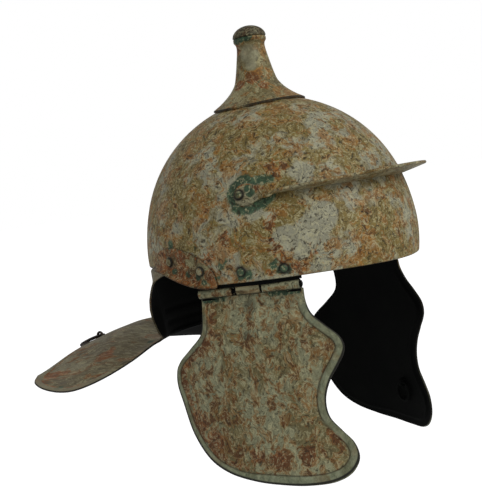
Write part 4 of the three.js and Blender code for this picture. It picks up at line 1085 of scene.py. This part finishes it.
# a ring of green round the brow guard's lug, and more under and over its arm: degrees and
# millimetres from the lug's middle
MM_PER_DEGREE = 1.85
LUG_GREEN = [(-11.5 * math.cos(turn) / MM_PER_DEGREE, 11.5 * math.sin(turn), 5.5, 0.85)
             for turn in np.radians(np.arange(60, 340, 20))]
LUG_GREEN += [(-6.5, -7, 7, 1), (-10.5, -3.5, 6, 0.9), (-4.5, 9.5, 6, 0.9), (-8, 9.5, 6, 0.95),
              (-11, 9, 5, 0.8)]
# everything that follows lies alike on both sides
MARKS = {
    **NO_MARKS,
    "verdigris": [
        *[spot(BROW_LUG_ANGLE + turn, BROW_LUG_HEIGHT + up, *rest) for turn, up, *rest in LUG_GREEN],
        *[spot(*one) for one in [
            (108.6, 34, 6, 0.7), (94.3, 29, 4.5, 0.6), (83.9, 14.4, 5, 0.8), (81.3, 18.4, 3.5, 0.6),
            (72.8, 5.4, 6, 0.85), (76, 6.3, 6, 0.7), (63, 10.5, 5, 0.85), (57.8, 5.5, 5, 0.8),
            (60.3, 6.3, 5, 0.9), (61.3, 13.7, 4, 0.7), (85.8, 5.6, 4, 0.8), (17.4, 52.8, 3, 0.7),
            (106.6, 12.2, 6, 0.9), (99.3, 9.9, 5, 0.85), (94.4, 7.8, 5, 0.85), (92, 3, 5, 0.8)]],
        *[cheek_spot(along, 4.5, 4.5, 0.85) for along in (-10, -5, 0, 5, 44, 49, 54, 59, 64)],
        ((-112, -52, -49), 6, 0.6), ((-170, -110, -76), 8, 0.6),
    ],
    "rust": [
        *[spot(*one) for one in [
            (60.3, 20.7, 7, 1), (60.2, 13.4, 6, 1), (53.8, 7.2, 8, 0.9), (61.7, 27.6, 5, 0.9),
            (64.9, 5.8, 5, 0.8), (61.4, 40.6, 9, 0.8), (55.6, 79.6, 12, 0.6), (88.9, 55.9, 7, 0.6),
            (102, 52.3, 8, 0.6), (88.1, 21.1, 9, 0.9), (81, 33.8, 10, 0.6), (48, 15, 6, 0.7),
            (102.7, 23.3, 8, 1), (104, 9.1, 9, 1), (88.1, 8.5, 8, 1), (97.4, 5.2, 8, 1)]],
        *[cheek_spot(*one) for one in [
            (-31, 97, 14, 0.6), (-19, 112, 12, 0.8), (33, 128, 11, 0.9), (15, 125, 9, 0.8), (55, 126, 9, 0.6),
            (75, 112, 9, 0.5), (-38, 66, 10, 0.5)]],
        ((-201, -88, -69), 15, 1), ((-188, -84, -67), 9, 0.9), ((-146, -73, -55), 13, 1),
        ((-123, -42, -46), 7, 0.9),
    ],
    "pale": [
        *[spot(*one) for one in [
            (66.3, 47.6, 7, 1), (62.2, 45.8, 6, 1), (55.9, 28.9, 13, 1), (51.9, 18.4, 9, 0.9),
            (44.6, 73.8, 11, 0.9), (47.4, 31.5, 15, 0.9), (103.2, 45.8, 10, 0.5), (76.5, 47.3, 9, 0.4),
            (40.5, 40.4, 14, 0.9), (97.3, 21.2, 7, 1), (98.4, 26.6, 4, 0.9)]],
        *[spot(BROW_LUG_ANGLE + turn, BROW_LUG_HEIGHT - 7, 4, 1, 3) for turn in (1, -2.5)],
        # a painted highlight along the top of the front knuckles
        *[cheek_spot(along, -3, 5, 1) for along in (42, 48, 54, 60, 66)],
    ],
    "dark": [
        cheek_spot(26, 12, 9, 0.45), cheek_spot(21, 34, 8, 0.4),
        # painted shadow rings on the sheet round the rivets
        *[spot(angle, height, RIVET_HEAD_RADIUS * 2, 0.85) for _, angle, height, *_ in PAIRED_RIVETS],
        *[spot(angle, edge_height(angle), 2.4, 1) for angle in range(122, 181, 2)],
    ],
}
LUG_MARKS = {
    **NO_MARKS,
    "verdigris": [lug_spot(*one) for one in ((-1.5, 3.5, 5), (-2.5, 0.5, 5), (-10, 4, 3.5))],
    "rust": [lug_spot(*one, 3.5) for one in ((3.5, 5.5), (1, 7.5), (-2, 7.5), (-5, 3), (-8, 3.5))],
    "pale": [lug_spot(*one, 3.5) for one in (
        (4.3, -2), (3.7, -4.5), (2, -6.5), (0, -7), (-2.3, -6), (-4, -4))],
    # a painted shadow ring round the brow rivet on the lug
    "dark": [lug_spot(BROW_RIVET_SHIFT, 0, RIVET_HEAD_RADIUS * 1.9)],
}
# the knob is smooth and grey in front under its collar, and rusty at its foot
KNOB_MARKS = {
    **NO_MARKS,
    "border": [((5, -11, 173), 12, 1), ((6, -12, 164), 8, 0.8)],
    "rust": [(place, 8, 1) for place in ((7, -15, 152), (-3, -18, 149), (15, -14, 146), (-8, -10, 178))],
    "verdigris": [(place, 6, 1) for place in ((0, -13, 187), (6, -12, 187), (-5, -12, 186))],
    "pale": [((12, -9, 170), 8, 0.6)],
}


MARK_FULL_SHARE = 0.3       # a mark is at its full strength over this share of its reach


def marked(places, spots):
    """How strongly each place is marked by a list of spots."""
    amount = np.zeros(len(places))
    for centre, reach, strength in spots:
        gap = np.linalg.norm(places - centre, axis=1)
        amount = np.maximum(amount, strength * (1 - smooth(gap, reach * MARK_FULL_SHARE, reach)))
    return amount


SEAM_FILLED_SHARE = 0.8
SEAM_FILLED_ANGLE = 82
SEAM_FILLED_WIDTH = 9
BRIGHT_KNUCKLE_START = 36   # along the pin: the front knuckle takes the strongest painted highlight
GUARD_START = (118, 130)    # how far back from the middle the guard's border begins


def filled_seam(places):
    """How open the seam round the knob's foot is: on each side it is filled up in one place."""
    angle = np.degrees(np.arctan2(np.abs(places[:, 1]), places[:, 0]))
    return 1 - SEAM_FILLED_SHARE * np.exp(-((angle - SEAM_FILLED_ANGLE) / SEAM_FILLED_WIDTH) ** 2)


def bowl_seam_shade(places):
    """Painted shade in the seam round the foot of the knob, as a dark line."""
    away = np.hypot(places[:, 0], places[:, 1]) - KNOB_FLANGE_RADIUS
    line = np.exp(-((away - 0.2) / 0.6) ** 2) * (places[:, 2] > BOWL_HEIGHT / 2)
    return {"dark": 0.8 * line * filled_seam(places)}


def knob_seam_shade(places):
    """Painted shade on the flange's edge round the knob's foot, by the seam."""
    edge = smooth(np.hypot(places[:, 0], places[:, 1]), KNOB_FLANGE_RADIUS - 0.7, KNOB_FLANGE_RADIUS)
    return {"dark": 0.7 * edge * filled_seam(places)}


def rivet_shade(angle, height):
    """Painted shade round the edge of a rivet's domed head."""
    foot = on_bowl(angle, height, 0)
    axis = unit(on_bowl(angle, height, 1) - foot)

    def wear_and_shade(places):
        away = np.linalg.norm(np.cross(places - foot, axis), axis=1)
        return {"dark": 0.85 * smooth(away, RIVET_HEAD_RADIUS * 0.5, RIVET_HEAD_RADIUS)}
    return wear_and_shade


def knuckle_shading(places):
    """Painted light on the knuckles: painted shade above and below, and a painted highlight along the upper
    side, strongest on the front knuckle.
    """
    own = in_hinge(places)
    on_knuckle = 1 - smooth(np.hypot(own[:, 1], own[:, 2]), KNUCKLE_RADIUS + 0.1, KNUCKLE_RADIUS + 0.6)
    # the painted highlight along the knuckle's upper side
    highlight = smooth(own[:, 2], -0.5, 1.5) * np.where(own[:, 0] > BRIGHT_KNUCKLE_START, 1, 0.6)
    return {"dark": on_knuckle * 0.8 * smooth(np.abs(own[:, 2]), KNUCKLE_RADIUS * 0.45, KNUCKLE_RADIUS),
            "pale": on_knuckle * highlight}


def cheek_wear_and_shading(places):
    """A smooth border with a dark line inside it and a dark outer edge, which is painted shade on the edge's
    thickness; the knuckles take their painted shade and highlight.
    """
    own = in_hinge(places)
    along, down = own[:, 0], -own[:, 2] / math.cos(math.radians(CHEEK_SPLAY))
    gap = nearest(np.stack([along, down], axis=1), cheek_rim())
    border, level = cheek_border(along, down)
    line = np.exp(-((gap - border - 1.1) / 0.8) ** 2)
    # the dark outer edge: painted shade on the edge's thickness
    rim = 1 - smooth(gap, 0.4, 1.6)
    knuckle = knuckle_shading(places)
    return {"border": level * (1 - smooth(gap, border, border + 1.2)), "pale": knuckle["pale"],
            "dark": np.maximum(knuckle["dark"], level * np.maximum(0.6 * line, 0.9 * rim)),
            "rust": 0.7 * level * np.exp(-((gap - border - 4) / 2.5) ** 2) * smooth(-along, -30, 20)}


def guard_wear_and_edge_shade(places):
    """A pale smooth border with a brown line inside it, and a dark outer edge, which is painted shade on the
    edge's thickness.
    """
    row, _, face = guard_face()
    outline = guard_outline(row, face)
    some = np.linspace(0, len(outline) - 1, GUARD_OUTLINE_COUNT).astype(int)
    gap = nearest(places, outline[some])
    on_guard = smooth(-places[:, 0], *GUARD_START)
    line = np.exp(-((gap - GUARD_BORDER - 2) / 1.1) ** 2)
    # the dark outer edge: painted shade on the edge's thickness
    rim = 1 - smooth(gap, 0.3, 1.6)
    return {"border": on_guard * (1 - smooth(gap, GUARD_BORDER, GUARD_BORDER + 2)),
            "rust": 0.9 * on_guard * line, "dark": 0.9 * rim}


def build(node, mesh, look, body, wear_and_shade=None, spots=MARKS):
    """Makes the piece that stands for a node, marks its wear and its painted shade and highlights, and ties
    it to the body it moves with.
    """
    vertices, faces, inside = welded(mesh)
    data = bpy.data.meshes.new(f"{node}_skin")
    data.from_pydata(vertices * METRE, [], faces)
    data.materials.append(look)
    data.materials.append(blackened)
    shape = bmesh.new()
    shape.from_mesh(data)
    bmesh.ops.recalc_face_normals(shape, faces=shape.faces)
    for face in shape.faces:
        face.material_index = int(min(inside[corner.index] for corner in face.verts) > 0.5)
    shape.to_mesh(data)
    shape.free()
    data.polygons.foreach_set("use_smooth", np.ones(len(data.polygons), bool))
    data.set_sharp_from_angle(angle=math.radians(SHARP_ANGLE))
    # the marks are given for the right half
    places = np.where([False, True, False], -np.abs(vertices), vertices)
    own = wear_and_shade(places) if wear_and_shade else {}
    amounts = {key: np.maximum(marked(places, spots[key]), own.get(key, 0)) for key in MARK_KEYS}
    for key, amount in {**amounts, "inside": inside}.items():
        data.attributes.new(key, "FLOAT", "POINT").data.foreach_set("value", amount)
    made = bpy.data.objects.new(f"{node}_skin", data)
    bpy.context.scene.collection.objects.link(made)
    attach(made, body)
    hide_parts(node)


def build_pair(name, mesh, look, bodies, wear_and_shade=None, spots=MARKS):
    build(f"{name}_right", mesh, look, bodies[0], wear_and_shade, spots)
    build(f"{name}_left", mirrored(mesh), look, bodies[1], wear_and_shade, spots)


bowl_patina = patina("patinated sheet bronze of the bowl")
brow_patina = patina("patinated sheet bronze of the brow guard", straw="#65552c", pale="#827d62",
                     ochre="#72501f", brown_share=0.12)
guard_patina = patina("patinated sheet bronze of the neck guard", straw="#60563c", pale="#797257",
                      ochre="#74491f", brown="#5a3415", blotch_size=11, ochre_share=0.15, brown_share=0.05,
                      stretch=(0.3, 1, 1), contrast=0.6, border=("#5f5843", "#7f7963"))
ear_patina = patina("patinated sheet bronze of the ear guards", straw="#53401f", pale="#76704f",
                    ochre="#7b4616", brown="#42260d", pale_share=0.2, ochre_share=0.6, brown_share=0.3,
                    contrast=0.9)
cheek_patina = patina("patinated sheet bronze of the cheek pieces", straw="#655c3c", pale="#7b7b60",
                      ochre="#75542a", brown="#472712", blotch_size=6.5, pale_share=0.6, ochre_share=0.3,
                      brown_share=0.38, stretch=(1, 1, 0.75), contrast=0.85)
knob_patina = patina("patinated cast bronze of the knob", straw="#665b39", pale="#817955", ochre_share=0.35,
                     contrast=0.8, border=("#6b6852", "#888770"))
cap_patina = patina("patinated cast bronze of the cap", straw="#2c2817", pale="#3f3d28", ochre="#43301a",
                    brown="#261c10", blotch_size=6, pale_share=0.4, ochre_share=0.5, contrast=0.7)
rivet_patina = patina("patinated forged bronze of the rivets", straw="#5f5636", pale="#8f8a6c", blotch_size=4,
                      pale_share=0.5, ochre_share=0.45)
hinge_patina = patina("patinated sheet bronze of the hinges", straw="#4a4026", pale="#837d60",
                      ochre="#634826", blotch_size=6, ochre_share=0.4, stretch=(0.4, 1, 1), contrast=0.8)
blackened = near_black()
iron = old_iron()

HELMET = ("helmet", "helmet")
CHEEKS = ("cheek_right", "cheek_left")
TIE_RINGS = ("tie_ring_right", "tie_ring_left")
build("bowl", bowl(), bowl_patina, "helmet", bowl_seam_shade)
build("neck_guard", neck_guard(), guard_patina, "helmet", guard_wear_and_edge_shade)
build("brow_guard", brow_guard(), brow_patina, "helmet", spots=LUG_MARKS)
build_pair("ear_guard", ear_guard(), ear_patina, HELMET)
build_pair("hinge_leaf", hinge_leaf(), hinge_patina, HELMET, knuckle_shading)
build_pair("hinge_pin", hinge_pin(), blackened, HELMET)
build_pair("cheek_piece", cheek_piece(), cheek_patina, CHEEKS, cheek_wear_and_shading)
build("knob_stem", knob_stem(), knob_patina, "helmet", knob_seam_shade, KNOB_MARKS)
build("knob_cap", knob_cap(), cap_patina, "helmet")
build("knob_washer", knob_washer(), rivet_patina, "helmet")

for name, angle, height, out, under in PAIRED_RIVETS:
    green = spot(angle, height, RIVET_HEAD_RADIUS * 2, RIVET_GREEN_SHARES[name], out)
    build_pair(name, rivet(angle, height, out, under), rivet_patina, HELMET,
               rivet_shade(angle, height), {**NO_MARKS, "verdigris": [green]})
for side, step in (("right", -1), ("middle", 0), ("left", 1)):
    angle = 180 + step * NAPE_RIVET_ANGLE
    build(f"nape_rivet_{side}", rivet(angle, BACK_RIM_RISE + NAPE_LAP / 2, 0, THROUGH_SHEET),
          rivet_patina, "helmet")

tie_loop = shifted(loop(TIE_LOOP_RADIUS, TIE_LOOP_WIRE, TIE_LOOP_STAND - SEAT_GAP, 0), 0, TIE_LOOP_STAND)
tie_ring = shifted(ring(TIE_RING_RADIUS, TIE_RING_WIRE), TIE_RING_RADIUS, TIE_LOOP_STAND)
build_pair("tie_loop", on_cheek_inside(tie_loop), blackened, CHEEKS)
build_pair("tie_ring", on_cheek_inside(tie_ring), blackened, TIE_RINGS)
neck_leg = NECK_LOOP_STAND + SHEET_WALL + SEAT_GAP + NECK_LOOP_WIRE
neck_loop = shifted(loop(NECK_LOOP_RADIUS, NECK_LOOP_WIRE, neck_leg, NECK_LOOP_FOOT), 0, NECK_LOOP_STAND)
neck_ring = shifted(ring(NECK_RING_RADIUS, NECK_RING_WIRE), -NECK_RING_RADIUS, NECK_LOOP_STAND)
build("neck_loop", on_guard_rear(neck_loop), iron, "helmet")
build("neck_ring", on_guard_rear(neck_ring), iron, "neck_ring")


# Camera, light and ground

CAMERA_PLACE = (468.3, -670.3, 71.2)
CAMERA_RIGHT = (0.7928, 0.5902, -0.1523)
CAMERA_UP = (0.0827, 0.1434, 0.9862)
CAMERA_AHEAD = (-0.6039, 0.7945, -0.0649)
CAMERA_LENS = 71.82
CAMERA_SENSOR = 36
SUN_FROM = (0.90, -0.08, 0.50)
SUN_STRENGTH = 1.57
SUN_ANGLE = 25
SKY_LIGHT = 0.55
FLOOR_HEIGHT = -450
FLOOR_REACH = 40000
FLOOR_GLOW = 0.5


def camera():
    data = bpy.data.cameras.new("camera")
    data.lens = CAMERA_LENS
    data.sensor_width = CAMERA_SENSOR
    made = bpy.data.objects.new("camera", data)
    turn = Matrix((CAMERA_RIGHT, CAMERA_UP, tuple(-c for c in CAMERA_AHEAD))).transposed().to_4x4()
    made.matrix_world = Matrix.Translation(Vector(CAMERA_PLACE) * METRE) @ turn
    bpy.context.scene.collection.objects.link(made)
    bpy.context.scene.camera = made


def sky():
    """White to the camera, also through anything clear, and dimmer as light."""
    world = bpy.data.worlds.new("white room")
    world.use_nodes = True
    add = adder(world.node_tree)
    seen = [add("LightPath", out=f"Is {kind} Ray") for kind in ("Camera", "Transmission")]
    seen = add("Math", dict(enumerate(seen)), operation="MAXIMUM")
    level = add("MapRange", {"Value": seen, "To Min": SKY_LIGHT, "To Max": 1.0})
    add("OutputWorld", {"Surface": add("Background", {"Color": WHITE, "Strength": level})})
    bpy.context.scene.world = world


def sun():
    data = bpy.data.lights.new("sun", "SUN")
    data.energy = SUN_STRENGTH
    data.angle = math.radians(SUN_ANGLE)
    made = bpy.data.objects.new("sun", data)
    made.rotation_mode = "QUATERNION"
    made.rotation_quaternion = Vector(SUN_FROM).to_track_quat("Z", "Y")
    bpy.context.scene.collection.objects.link(made)


def floor():
    """A pale ground that looks white where it is lit and keeps the shadow."""
    made, add = material("pale ground")
    seen = add("LightPath", out="Is Camera Ray")
    shader = add("BsdfDiffuse", {"Color": GROUND})
    glow = add("Emission", {"Strength": add("Math", {0: seen, 1: FLOOR_GLOW}, operation="MULTIPLY")})
    add("OutputMaterial", {"Surface": add("AddShader", {0: shader, 1: glow})})
    corners = np.array([(-1, -1, 0), (1, -1, 0), (1, 1, 0), (-1, 1, 0)]) * FLOOR_REACH
    data = bpy.data.meshes.new("ground")
    data.from_pydata((corners + [0, 0, FLOOR_HEIGHT]) * METRE, [], [(0, 1, 2, 3)])
    data.materials.append(made)
    ground = bpy.data.objects.new("ground", data)
    bpy.context.scene.collection.objects.link(ground)


camera()
sky()
sun()
floor()
bpy.context.scene.view_settings.view_transform = "Standard"

bpy.context.view_layer.update()
